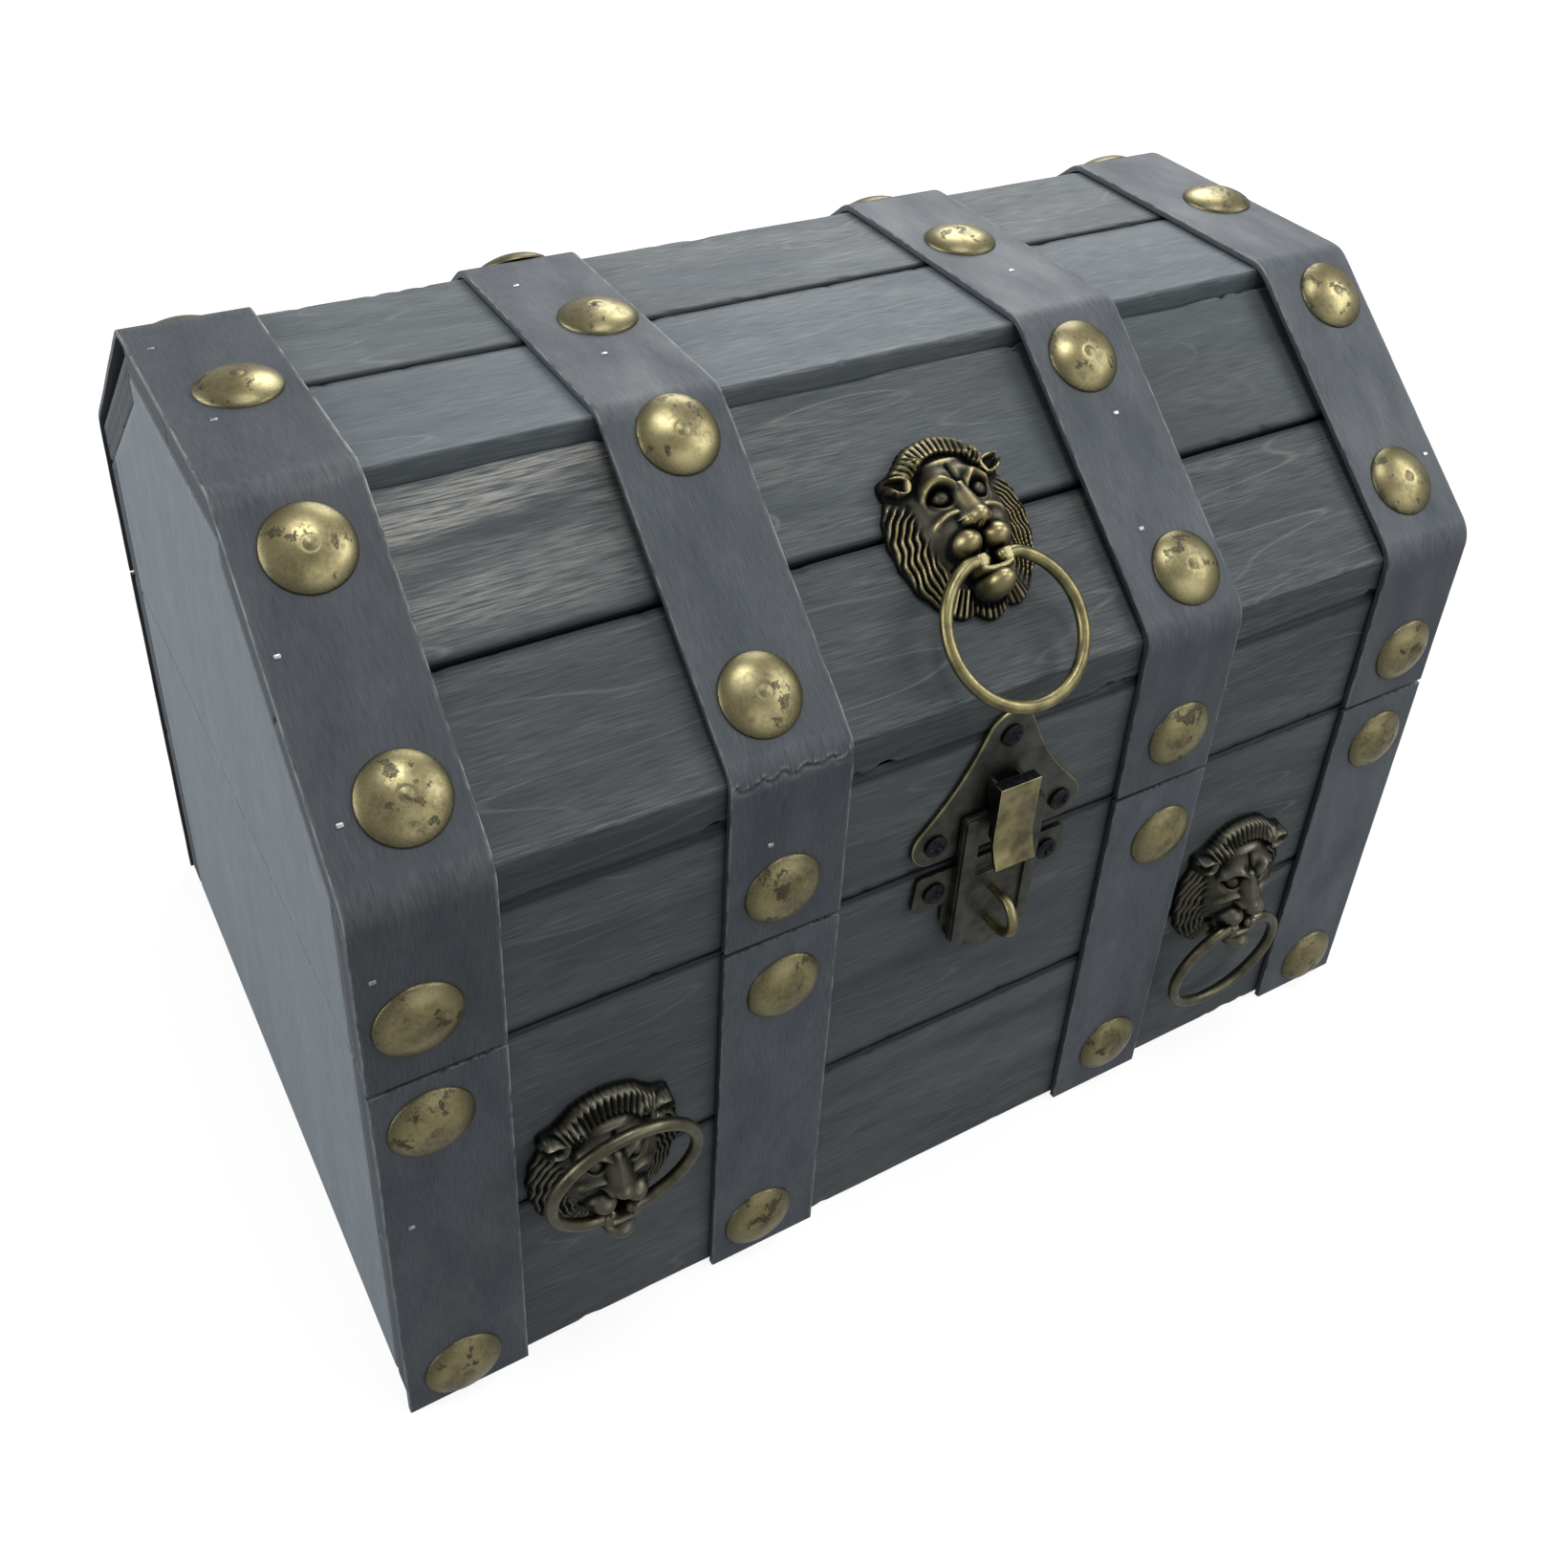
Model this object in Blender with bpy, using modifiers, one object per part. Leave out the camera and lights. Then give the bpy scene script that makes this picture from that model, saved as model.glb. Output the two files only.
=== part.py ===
"""Small treasure chest: plywood box, faceted lid, studded bands, lion-mask ring pulls and a lever latch.

Metres, +Z up, +X to the right along the length, the front faces -Y. The origin is the middle of the base.
"""

import math

import bmesh
import bpy
from mathutils import Matrix, Vector

# Fits
SEAT = 0.0003            # gap between pieces that touch
PIN_PLAY = 0.00008       # radial play of a hinge, lever or ring pin in its hole
HOLE_PLAY = 0.0003       # radial play of a nail or screw shank in its hole
WELD = 0.000001          # distance below which corners are one
STEP_IN = 0.0002         # a welded-on strip or tongue stays this far inside the edge it is joined to

# Chest, measured over the bands
LENGTH = 0.300
DEPTH = 0.206
HEIGHT = 0.2174
SEAM_Z = 0.1134          # middle of the joint between box and lid
SHOULDER_Z = 0.163       # corner between lid rail and lid slope
CROWN_WIDTH = 0.0784     # flat top
LID_GAP = 0.0008

# Boards, slats and panels
BOARD_T = 0.009
PANEL_T = 0.009
BOTTOM_T = 0.006
JOINT_GAP = 0.0010       # open joint between neighbouring boards
LOWER_BOARD_H = 0.0560
LOWER_SLAT_W = 0.0400
TOP_STEP = 0.0040        # edge of the top slat that stands above the slope slat
CROWN_SETBACK = 0.0012   # top slat edge behind the crown bend of the bands
SHOULDER_SETBACK = 0.0018  # slat edge below the shoulder bend of the bands

# Bands
BAND_T = 0.0016
BAND_W = 0.0296
BAND_LIFT = 0.0006       # bands stand this far off the boards
BAND_OVERHANG = 0.0008   # end bands reach past the slat ends
BAND_BEND_R = 0.0096
BAND_BEND_STEPS = 4
BAND_SEAM_GAP = 0.0014
INNER_BAND_SHARE = 0.409  # inner bands' distance from the middle, as a share of the end bands'

# Domed studs, placed on the bands
STUD_D = 0.019
STUD_H = 0.0035
STUD_SHANK_D = 0.0020
STUD_SHANK_L = 0.0070
STUD_STEPS = 10
NAIL_BITE = 0.0002       # heads press this far into the band
STUD_TOP_Y = 0.0018
STUD_UPPER_S = 0.0123    # below the crown bend
STUD_LOWER_S = 0.0673    # below the crown bend
STUD_RAIL_RISE = 0.0158  # above the seam
STUD_BOX_DROP = 0.0164   # below the seam
STUD_FOOT_Z = 0.0119
# how far each stud wanders off the middle of its band, from left to right
STUD_SHIFT = {
    "top": (0.0020, 0.0044, -0.0007, 0.0050),
    "upper": (0.0001, 0.0012, -0.0010, 0.0034),
    "lower": (0.0024, -0.0020, 0.0030, -0.0008),
    "rail": (-0.0030, -0.0010, 0.0017, 0.0016),
    "box": (-0.0026, 0.0009, 0.0035, 0.0016),
    "foot": (-0.0012, -0.0019, 0.0017, 0.0019),
}
# how far each stud wanders from its row, along the band
STUD_SLIDE = {
    "top": (-0.0009, -0.0005, 0.0032, -0.0018),
    "upper": (0.0023, -0.0030, 0.0009, 0.0003),
    "lower": (-0.0014, 0.0005, 0.0026, -0.0017),
    "rail": (0.0014, -0.0010, 0.0001, -0.0006),
    "box": (-0.0024, 0.0004, 0.0025, -0.0004),
    "foot": (-0.0015, 0.0004, 0.0029, -0.0015),
}

# Brads that hold the bands: (band, across from its middle, place along the facet)
BRAD_W = 0.0015
BRAD_T = 0.0010
BRAD_L = 0.0070
BRAD_PROUD = 0.0003
TOP_BRADS = ((0, -0.0101, 0.0254), (0, -0.0061, -0.0110), (1, -0.0062, 0.0245), (1, -0.0021, -0.0163),
             (2, 0.0006, -0.0161))
SLOPE_BRADS = ((0, -0.0115, 0.0336), (0, -0.0101, 0.0672), (2, -0.0049, 0.0578), (2, 0.0016, 0.0289),
               (3, 0.0112, 0.0608))
RAIL_BRADS = ((0, -0.0109, 0.0316), (1, -0.0048, 0.0292))
BOX_BRADS = ((0, -0.0093, 0.0452),)

# Lion-mask pulls
LION_W = 0.038
LION_H = 0.0455
LION_PLATE_T = 0.0028
LION_DEPTH = 0.0140      # nose above the mask's back
LION_BAND_GAP = 0.00215  # between a box mask and the band on its left
LION_BOX_Z = 0.0635
LION_LID_X = 0.0045
LION_LID_RISE = 0.0382   # mask centre above the shoulder edge, along the slope
RING_PIVOT_DROP = 0.0104  # ring pin below the mask centre
RING_PIVOT_H = 0.0096    # ring pin above the mask's back
RING_R = 0.0177          # wire centre line
RING_WIRE = 0.0031
RING_END_GAP = 0.0040    # between the ring's two ends, inside the jaw
RING_POINTS = 22
JAW_W = 0.0100
JAW_H = 0.0088
LEFT_RING_LEAN = math.radians(10.0)   # the flipped-up ring leans out from the wall
RING_SINK = math.radians(8.0)         # hanging rings dip towards the surface behind them
MASK_SCREW_D = 0.0030
MASK_SCREW_HEAD_D = 0.0062
MASK_SCREW_HEAD_H = 0.0020
MASK_SCREW_BITE = 0.0040
MASK_SCREW_RISE = 0.0060   # above the mask centre

# Latch, in a frame centred on the seam
LATCH_X = 0.0030
LATCH_T = 0.0012
LATCH_LOBE_R = 0.0062
LATCH_LOBE_X = 0.0181
LATCH_LOBE_Y = 0.0087
LATCH_TOP_Y = 0.0353
LATCH_TOP_R = 0.0068
LEVER_W = 0.0114
LEVER_T = 0.0010
LEVER_TOP_Y = 0.0251
LEVER_OUT = 0.0073       # front web's outer face above the boards
LEVER_FLARE_Y = 0.0080
LEVER_LIP_Y = 0.0021
LEVER_LIP_OUT = 0.0097
LEVER_NOSE_GAP = 0.0011
CHEEK_DROP = 0.0078      # cheeks reach this far below the pin axis
NOSE_W = 0.0057
NOSE_T = 0.0030
NOSE_RISE = 0.0010       # above the bend of the lip
LEVER_PIN_D = 0.0016
LEVER_PIN_Y = 0.0218
LEVER_PIN_H = 0.0042
EAR_T = 0.0010
EAR_R = 0.0016
STRIKE_WING_X = 0.0167
STRIKE_WING_Y = -0.0071
STRIKE_WING_R = 0.0060
STRIKE_FOOT_X = 0.0090
STRIKE_FOOT_Y = -0.0165
STRIKE_FOOT_R = 0.0045
CHANNEL_W = 0.0230
CHANNEL_T = 0.0014
CHANNEL_CLEAR = 0.0006   # channel in front of the lid plate
CHANNEL_TOP_Y = 0.0150
CHANNEL_HEEL_Y = -0.0245
CHANNEL_POINT_Y = -0.0307
RAIL_W = 0.0032
RAIL_H = 0.0010
WINDOW_W = 0.0130
WINDOW_LOW_Y = -0.0049
WINDOW_TOP_Y = 0.0100
EYE_WIRE = 0.0022
EYE_Y = -0.0160
EYE_SPAN = 0.0106        # between the centre lines of the eye's two legs
EYE_OUT = 0.0090         # eye's outer centre line above the channel
LATCH_SCREW_D = 0.0024
LATCH_SCREW_HEAD_D = 0.0060
LATCH_SCREW_HEAD_H = 0.0013
LATCH_SCREW_L = 0.0075
SCREW_STEPS = 10

# Rear hinges
HINGE_W = 0.0320
HINGE_LEAF_H = 0.0165
HINGE_T = 0.0012
KNUCKLE_R = 0.0024
KNUCKLE_GAP = 0.0004
HINGE_PIN_D = 0.0022
HINGE_SCREW_X = 0.0100
HINGE_SCREW_Y = 0.0105
HINGE_SCREW_D = 0.0022
HINGE_SCREW_HEAD_D = 0.0050
HINGE_SCREW_HEAD_H = 0.0010
HINGE_SCREW_L = 0.0070

# Places that follow from the sizes above
BOARD_Y = DEPTH / 2 - BAND_T - BAND_LIFT
TOP_Z = HEIGHT - BAND_T - BAND_LIFT
END_X = LENGTH / 2 - BAND_OVERHANG
INNER_Y = BOARD_Y - BOARD_T
PANEL_Y = INNER_Y - SEAT
BOX_TOP = SEAM_Z - LID_GAP / 2
LID_BASE = SEAM_Z + LID_GAP / 2
CROWN_Y = CROWN_WIDTH / 2 - CROWN_SETBACK
EDGE_Z = SHOULDER_Z - SHOULDER_SETBACK
SLAT_ANGLE = math.atan2(TOP_Z - TOP_STEP - EDGE_Z, BOARD_Y - CROWN_Y)
BAND_ANGLE = math.atan2(HEIGHT - SHOULDER_Z, DEPTH / 2 - CROWN_WIDTH / 2)
PLUMB_T = BOARD_T / math.cos(SLAT_ANGLE)
PLUMB_SEAT = SEAT / math.cos(SLAT_ANGLE)
END_BAND_X = LENGTH / 2 - BAND_W / 2
INNER_BAND_X = END_BAND_X * INNER_BAND_SHARE
BAND_X = (-END_BAND_X, -INNER_BAND_X, INNER_BAND_X, END_BAND_X)
BAY_X = (END_BAND_X + INNER_BAND_X) / 2  # hinges stand midway between two bands
HINGE_AXIS_Y = BOARD_Y + SEAT + KNUCKLE_R
PLATE_Y = BOARD_Y + SEAT
CHANNEL_BACK = LATCH_T + CHANNEL_CLEAR
CHANNEL_FACE = CHANNEL_BACK + CHANNEL_T
FRONT = -1
REAR = 1

MATERIALS = {
    "stained_plywood": ((0.060, 0.066, 0.078), 0.62, 0.0),
    "stained_strip": ((0.052, 0.058, 0.070), 0.50, 0.0),
    "antique_brass": ((0.330, 0.255, 0.105), 0.34, 1.0),
    "antique_bronze": ((0.170, 0.145, 0.080), 0.38, 1.0),
    "blackened_steel": ((0.060, 0.060, 0.062), 0.42, 1.0),
    "bright_steel": ((0.560, 0.570, 0.580), 0.35, 1.0),
}


def clear_scene():
    for item in list(bpy.data.objects):
        bpy.data.objects.remove(item)


def new_collection(name):
    collection = bpy.data.collections.new(name)
    bpy.context.scene.collection.children.link(collection)
    return collection


def new_material(name):
    colour, roughness, metallic = MATERIALS[name]
    material = bpy.data.materials.new(name)
    material.use_nodes = True
    shader = material.node_tree.nodes["Principled BSDF"]
    shader.inputs["Base Color"].default_value = (*colour, 1.0)
    shader.inputs["Roughness"].default_value = roughness
    shader.inputs["Metallic"].default_value = metallic
    return material


def facet(origin, up, out):
    """Frame of a flat surface: x across it, y up it and z out of it."""
    up = Vector(up).normalized()
    out = Vector(out).normalized()
    frame = Matrix((up.cross(out), up, out)).transposed().to_4x4()
    frame.translation = Vector(origin)
    return frame


def wall(x, z, side, y=DEPTH / 2):
    """Frame on an upright front or rear surface."""
    return facet((x, side * y, z), (0, 0, 1), (0, side, 0))


def band_slope(x, s, side):
    """Frame on the sloping part of a band, s below the crown bend."""
    y = CROWN_WIDTH / 2 + s * math.cos(BAND_ANGLE)
    z = HEIGHT - s * math.sin(BAND_ANGLE)
    up = (0, -side * math.cos(BAND_ANGLE), math.sin(BAND_ANGLE))
    out = (0, side * math.sin(BAND_ANGLE), math.cos(BAND_ANGLE))
    return facet((x, side * y, z), up, out)


def slat_slope(x, t, lift=0.0):
    """Frame on the front slope slats, t above the shoulder edge and lifted off the slats."""
    up = Vector((0, math.cos(SLAT_ANGLE), math.sin(SLAT_ANGLE)))
    out = Vector((0, -math.sin(SLAT_ANGLE), math.cos(SLAT_ANGLE)))
    return facet(Vector((x, -BOARD_Y, EDGE_Z)) + up * t + out * lift, up, out)


def band_top(x, y):
    return facet((x, y, HEIGHT), (0, 1, 0), (0, 0, 1))


def turn_x(angle):
    return Matrix.Rotation(angle, 4, "X")


def moved(mesh, frame):
    copy = mesh.copy()
    copy.transform(frame)
    return copy


def clean(mesh):
    """Weld a mesh and turn its faces outwards."""
    body = bmesh.new()
    body.from_mesh(mesh)
    bmesh.ops.remove_doubles(body, verts=body.verts, dist=WELD)
    bmesh.ops.recalc_face_normals(body, faces=body.faces)
    body.to_mesh(mesh)
    body.free()
    return mesh


def baked(data, modify=None):
    """Evaluate a curve or mesh, with a modifier set up by modify, into a closed mesh."""
    item = bpy.data.objects.new(data.name, data)
    bpy.context.scene.collection.objects.link(item)
    if modify:
        modify(item)
    graph = bpy.context.evaluated_depsgraph_get()
    mesh = bpy.data.meshes.new_from_object(item.evaluated_get(graph))
    bpy.data.objects.remove(item)
    return clean(mesh)


def plate(outline, thickness, base=0.0):
    """Flat piece with the given outline, from height base to base + thickness."""
    curve = bpy.data.curves.new("plate", "CURVE")
    curve.dimensions = "2D"
    curve.fill_mode = "BOTH"
    curve.extrude = thickness / 2
    spline = curve.splines.new("POLY")
    spline.points.add(len(outline) - 1)
    for point, place in zip(spline.points, outline):
        point.co = (place[0], place[1], 0, 1)
    spline.use_cyclic_u = True
    mesh = baked(curve)
    mesh.transform(Matrix.Translation((0, 0, base + thickness / 2)))
    return mesh


def swept(outline, x_low, x_high):
    """Cross-section outline, in the chest's Y and Z, swept along X."""
    return moved(plate(outline, x_high - x_low, x_low), facet((0, 0, 0), (0, 0, 1), (1, 0, 0)))


def turned(profile, steps):
    """Solid turned about Z from a profile that runs down its outer side."""
    mesh = bpy.data.meshes.new("turned")
    edges = [(i, i + 1) for i in range(len(profile) - 1)]
    mesh.from_pydata([(r, 0, z) for r, z in profile], edges, [])

    def add_screw(item):
        screw = item.modifiers.new("turn", "SCREW")
        screw.steps = steps
        screw.render_steps = steps
        screw.use_merge_vertices = True
        screw.merge_threshold = WELD

    return baked(mesh, add_screw)


def wire(points, diameter):
    """Round wire along a path, with closed ends."""
    curve = bpy.data.curves.new("wire", "CURVE")
    curve.dimensions = "3D"
    curve.bevel_depth = diameter / 2
    curve.bevel_resolution = 2
    curve.use_fill_caps = True
    spline = curve.splines.new("POLY")
    spline.points.add(len(points) - 1)
    for point, place in zip(spline.points, points):
        point.co = (*place, 1)
    return baked(curve)


def box(low, high):
    mesh = bpy.data.meshes.new("box")
    low = Vector(low)
    high = Vector(high)
    body = bmesh.new()
    bmesh.ops.create_cube(body, size=1.0)
    body.to_mesh(mesh)
    body.free()
    mesh.transform(Matrix.Translation((low + high) / 2) @ Matrix.Diagonal((*(high - low), 1)))
    return mesh


def rod(radius, low, high, sides):
    """Round bar along Z."""
    mesh = bpy.data.meshes.new("rod")
    body = bmesh.new()
    size = {"radius1": radius, "radius2": radius, "depth": high - low}
    bmesh.ops.create_cone(body, cap_ends=True, segments=sides, **size)
    body.to_mesh(mesh)
    body.free()
    mesh.transform(Matrix.Translation((0, 0, (low + high) / 2)))
    return mesh


def cross_rod(radius, half_length, y, z, sides):
    """Round bar along X, centred at (0, y, z)."""
    bar = rod(radius, -half_length, half_length, sides)
    bar.transform(Matrix.Translation((0, y, z)) @ Matrix.Rotation(math.pi / 2, 4, "Y"))
    return bar


def pin_bore(diameter, half_length, y, z, sides):
    """Cutter along X for a pin's hole, its flats clear of the pin all round."""
    return cross_rod((diameter / 2 + PIN_PLAY) / math.cos(math.pi / sides), half_length, y, z, sides)


def ball(centre, radii, sides=8, rings=6):
    mesh = bpy.data.meshes.new("ball")
    body = bmesh.new()
    bmesh.ops.create_uvsphere(body, u_segments=sides, v_segments=rings, radius=1.0)
    body.to_mesh(mesh)
    body.free()
    mesh.transform(Matrix.Translation(centre) @ Matrix.Diagonal((*radii, 1)))
    return mesh


def joined(meshes):
    """One mesh holding several separate solids."""
    body = bmesh.new()
    for mesh in meshes:
        body.from_mesh(mesh)
    result = bpy.data.meshes.new("joined")
    body.to_mesh(result)
    body.free()
    return result


def combined(mesh, others, operation, solver):
    """Boolean of a mesh with several others."""
    helpers = new_collection("helpers")
    for other in others:
        helpers.objects.link(bpy.data.objects.new("helper", other))

    def add_boolean(item):
        boolean = item.modifiers.new("boolean", "BOOLEAN")
        boolean.operation = operation
        boolean.operand_type = "COLLECTION"
        boolean.collection = helpers
        boolean.solver = solver

    result = baked(mesh, add_boolean)
    for item in list(helpers.objects):
        bpy.data.objects.remove(item)
    bpy.data.collections.remove(helpers)
    return result


def fused(meshes, solver="EXACT"):
    return combined(meshes[0], meshes[1:], "UNION", solver)


def carved(mesh, cutters):
    return combined(mesh, cutters, "DIFFERENCE", "EXACT")


def arc(centre, radius, start, end, steps):
    """Points of an arc, angles in degrees."""
    points = []
    for i in range(steps + 1):
        angle = math.radians(start + (end - start) * i / steps)
        points.append((centre[0] + radius * math.cos(angle), centre[1] + radius * math.sin(angle)))
    return points


def rounded_hull(circles, steps=6):
    """Outline round a ring of circles (x, y, radius), given anticlockwise."""
    outline = []
    count = len(circles)
    for i in range(count):
        before = tangent_angle(circles[i - 1], circles[i])
        after = tangent_angle(circles[i], circles[(i + 1) % count])
        while after < before:
            after += 360
        outline += arc(circles[i][:2], circles[i][2], before, after, steps)
    return outline


def tangent_angle(first, second):
    """Direction from each centre to the outer common tangent of two circles, in degrees."""
    dx = second[0] - first[0]
    dy = second[1] - first[1]
    along = math.atan2(dy, dx)
    lean = math.acos((first[2] - second[2]) / math.hypot(dx, dy))
    return math.degrees(along - lean)


def offset_path(path, distance):
    """Path moved to its right by a distance, with its corners kept sharp."""
    points = [Vector(point) for point in path]
    normals = []
    for first, second in zip(points, points[1:]):
        along = (second - first).normalized()
        normals.append(Vector((along.y, -along.x)))
    moved_points = [points[0] + normals[0] * distance]
    for i in range(1, len(points) - 1):
        bisector = (normals[i - 1] + normals[i]).normalized()
        moved_points.append(points[i] + bisector * distance / bisector.dot(normals[i]))
    moved_points.append(points[-1] + normals[-1] * distance)
    return moved_points


def rounded_path(path, radius, steps):
    """Path with its inner corners rounded."""
    points = [Vector(point) for point in path]
    result = [points[0]]
    for i in range(1, len(points) - 1):
        back = (points[i - 1] - points[i]).normalized()
        ahead = (points[i + 1] - points[i]).normalized()
        half = back.angle(ahead) / 2
        centre = points[i] + (back + ahead).normalized() * radius / math.sin(half)
        start = points[i] + back * radius / math.tan(half) - centre
        end = points[i] + ahead * radius / math.tan(half) - centre
        for k in range(steps + 1):
            result.append(centre + start.lerp(end, k / steps).normalized() * radius)
    result.append(points[-1])
    return result


class Chest:
    """Collects the finished pieces, with their materials, parents and cutters."""

    def __init__(self):
        self.parts = new_collection("treasure_chest")
        self.cutters = new_collection("treasure_chest_cutters")
        self.materials = {name: new_material(name) for name in MATERIALS}
        self.lid_axis = self.empty("lid_axis", Matrix.Translation((0, HINGE_AXIS_Y, SEAM_Z)))

    def empty(self, name, frame, parent=None):
        item = bpy.data.objects.new(name, None)
        self.parts.objects.link(item)
        item.matrix_world = frame
        if parent:
            self.attach(item, parent)
        return item

    def attach(self, item, parent):
        bpy.context.view_layer.update()
        item.parent = parent
        item.matrix_parent_inverse = parent.matrix_world.inverted()

    def add(self, name, mesh, material, frame=None, parent=None, cutters=(), smooth=False):
        mesh.name = name
        mesh.materials.clear()
        mesh.materials.append(self.materials[material])
        if smooth:
            mesh.shade_smooth()
            mesh.set_sharp_from_angle(angle=math.radians(40))
        item = bpy.data.objects.new(name, mesh)
        self.parts.objects.link(item)
        item.matrix_world = frame or Matrix.Identity(4)
        if parent:
            self.attach(item, parent)
        for cutter in cutters:
            boolean = item.modifiers.new(cutter.name, "BOOLEAN")
            boolean.operation = "DIFFERENCE"
            boolean.object = cutter
            boolean.solver = "EXACT"
        return item

    def cutter(self, name, meshes):
        item = bpy.data.objects.new(name, joined(meshes))
        self.cutters.objects.link(item)
        item.hide_render = True
        item.display_type = "WIRE"
        return item


def mirrored(outline):
    """Cross-section outline of the matching rear piece."""
    return [(-y, z) for y, z in reversed(outline)]


def slope_point(t, depth=0.0):
    """Point of the front slope slats in cross-section: t above the shoulder edge, depth into the wood."""
    y = -BOARD_Y + t * math.cos(SLAT_ANGLE) + depth * math.sin(SLAT_ANGLE)
    z = EDGE_Z + t * math.sin(SLAT_ANGLE) - depth * math.cos(SLAT_ANGLE)
    return (y, z)


def slope_length_to(y):
    return (y + BOARD_Y) / math.cos(SLAT_ANGLE)


def lower_slat_outline():
    """Lower slope slat, cut plumb at the front so its edge lines up with the rail."""
    return [(-BOARD_Y, EDGE_Z - PLUMB_T), slope_point(LOWER_SLAT_W, BOARD_T), slope_point(LOWER_SLAT_W),
            (-BOARD_Y, EDGE_Z)]


def upper_slat_outline():
    """Upper slope slat, cut plumb where it meets the edge of the top slat."""
    start = LOWER_SLAT_W + JOINT_GAP
    y_end = -CROWN_Y - SEAT
    outer = slope_point(slope_length_to(y_end))
    return [slope_point(start, BOARD_T), (y_end, outer[1] - PLUMB_T), outer, slope_point(start)]


def rail_outline():
    """Lid rail, its top planed to the slope of the slat above."""
    front_top = EDGE_Z - PLUMB_T - PLUMB_SEAT
    back_top = front_top + BOARD_T * math.tan(SLAT_ANGLE)
    return [(-BOARD_Y, LID_BASE), (-INNER_Y, LID_BASE), (-INNER_Y, back_top), (-BOARD_Y, front_top)]


def top_slat_outline():
    low = TOP_Z - BOARD_T
    return [(-CROWN_Y, low), (-JOINT_GAP / 2, low), (-JOINT_GAP / 2, TOP_Z), (-CROWN_Y, TOP_Z)]


def lid_panel_outline():
    """Lid end panel: fills the space under the slats."""
    eave = EDGE_Z - PLUMB_T - PLUMB_SEAT + (BOARD_Y - PANEL_Y) * math.tan(SLAT_ANGLE)
    knee = EDGE_Z - PLUMB_T - PLUMB_SEAT + (BOARD_Y - CROWN_Y) * math.tan(SLAT_ANGLE)
    top = TOP_Z - BOARD_T - SEAT
    front = [(-CROWN_Y, top), (-CROWN_Y, knee), (-PANEL_Y, eave), (-PANEL_Y, LID_BASE)]
    return front + mirrored(front)


def band_outline():
    """Lid band: a strip bent over all five facets of the lid."""
    base = SEAM_Z + BAND_SEAM_GAP / 2
    half = [(-DEPTH / 2, base), (-DEPTH / 2, SHOULDER_Z), (-CROWN_WIDTH / 2, HEIGHT)]
    path = half + mirrored(half)
    outer = rounded_path(path, BAND_BEND_R, BAND_BEND_STEPS)
    inner = rounded_path(offset_path(path, BAND_T), BAND_BEND_R - BAND_T, BAND_BEND_STEPS)
    return outer + inner[::-1]


def lid_stud_frames(i):
    """Stud places on one lid band."""
    across = {row: BAND_X[i] + shifts[i] for row, shifts in STUD_SHIFT.items()}
    along = {row: slides[i] for row, slides in STUD_SLIDE.items()}
    frames = [band_top(across["top"], STUD_TOP_Y + along["top"])]
    for side in (FRONT, REAR):
        frames.append(band_slope(across["upper"], STUD_UPPER_S + along["upper"], side))
        frames.append(band_slope(across["lower"], STUD_LOWER_S + along["lower"], side))
        frames.append(wall(across["rail"], SEAM_Z + STUD_RAIL_RISE + along["rail"], side))
    return frames


def box_stud_frames(i, side):
    """Stud places on one box strip."""
    x = BAND_X[i]
    box_z = SEAM_Z - STUD_BOX_DROP - STUD_SLIDE["box"][i]
    foot_z = STUD_FOOT_Z + STUD_SLIDE["foot"][i]
    return [wall(x + STUD_SHIFT["box"][i], box_z, side), wall(x + STUD_SHIFT["foot"][i], foot_z, side)]


def lid_brad_frames(i):
    """Brad places on one lid band."""
    x = BAND_X[i]
    frames = [band_top(x + across, y) for band, across, y in TOP_BRADS if band == i]
    frames += [band_slope(x + across, s, FRONT) for band, across, s in SLOPE_BRADS if band == i]
    frames += [wall(x + across, SEAM_Z + rise, FRONT) for band, across, rise in RAIL_BRADS if band == i]
    return frames


def box_brad_frames(i, side):
    """Brad places on one box strip; the rear strips have none."""
    if side == REAR:
        return []
    return [wall(BAND_X[i] + across, SEAM_Z - drop, FRONT) for band, across, drop in BOX_BRADS if band == i]


def stud():
    """Upholstery nail: a domed head pressed into the band, and a shank that goes on into the board."""
    edge = STUD_D / 2
    shank = STUD_SHANK_D / 2
    profile = [(0, STUD_H), (edge * 0.55, STUD_H * 0.84), (edge * 0.90, STUD_H * 0.42), (edge, -NAIL_BITE),
               (shank, -NAIL_BITE), (shank, -STUD_SHANK_L), (0, -STUD_SHANK_L - shank)]
    return turned(profile, STUD_STEPS)


def nailed(strip, studs, brads):
    """Band with the nails that are driven through it."""
    return fused([strip] + placed(stud(), studs) + placed(brad(), brads), "MANIFOLD")


def stud_hole():
    """Hexagonal hole that clears the shank all round."""
    radius = (STUD_SHANK_D / 2 + HOLE_PLAY) / math.cos(math.pi / 6)
    return rod(radius, -STUD_SHANK_L - STUD_SHANK_D, STUD_H, 6)


def brad():
    return box((-BRAD_W / 2, -BRAD_T / 2, -BRAD_L), (BRAD_W / 2, BRAD_T / 2, BRAD_PROUD))


def brad_hole():
    x = BRAD_W / 2 + HOLE_PLAY
    y = BRAD_T / 2 + HOLE_PLAY
    return box((-x, -y, -BRAD_L - HOLE_PLAY), (x, y, STUD_H))


def pan_screw(head_d, head_h, shank_d, length, seat=SEAT):
    """Screw with a low round head whose underside is seat above the surface at z = 0."""
    head = head_d / 2
    shank = shank_d / 2
    profile = [(0, head_h), (head * 0.72, head_h * 0.85), (head, head_h * 0.4), (head, seat), (shank, seat),
               (shank, -length), (0, -length - shank)]
    return turned(profile, SCREW_STEPS)


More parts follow.
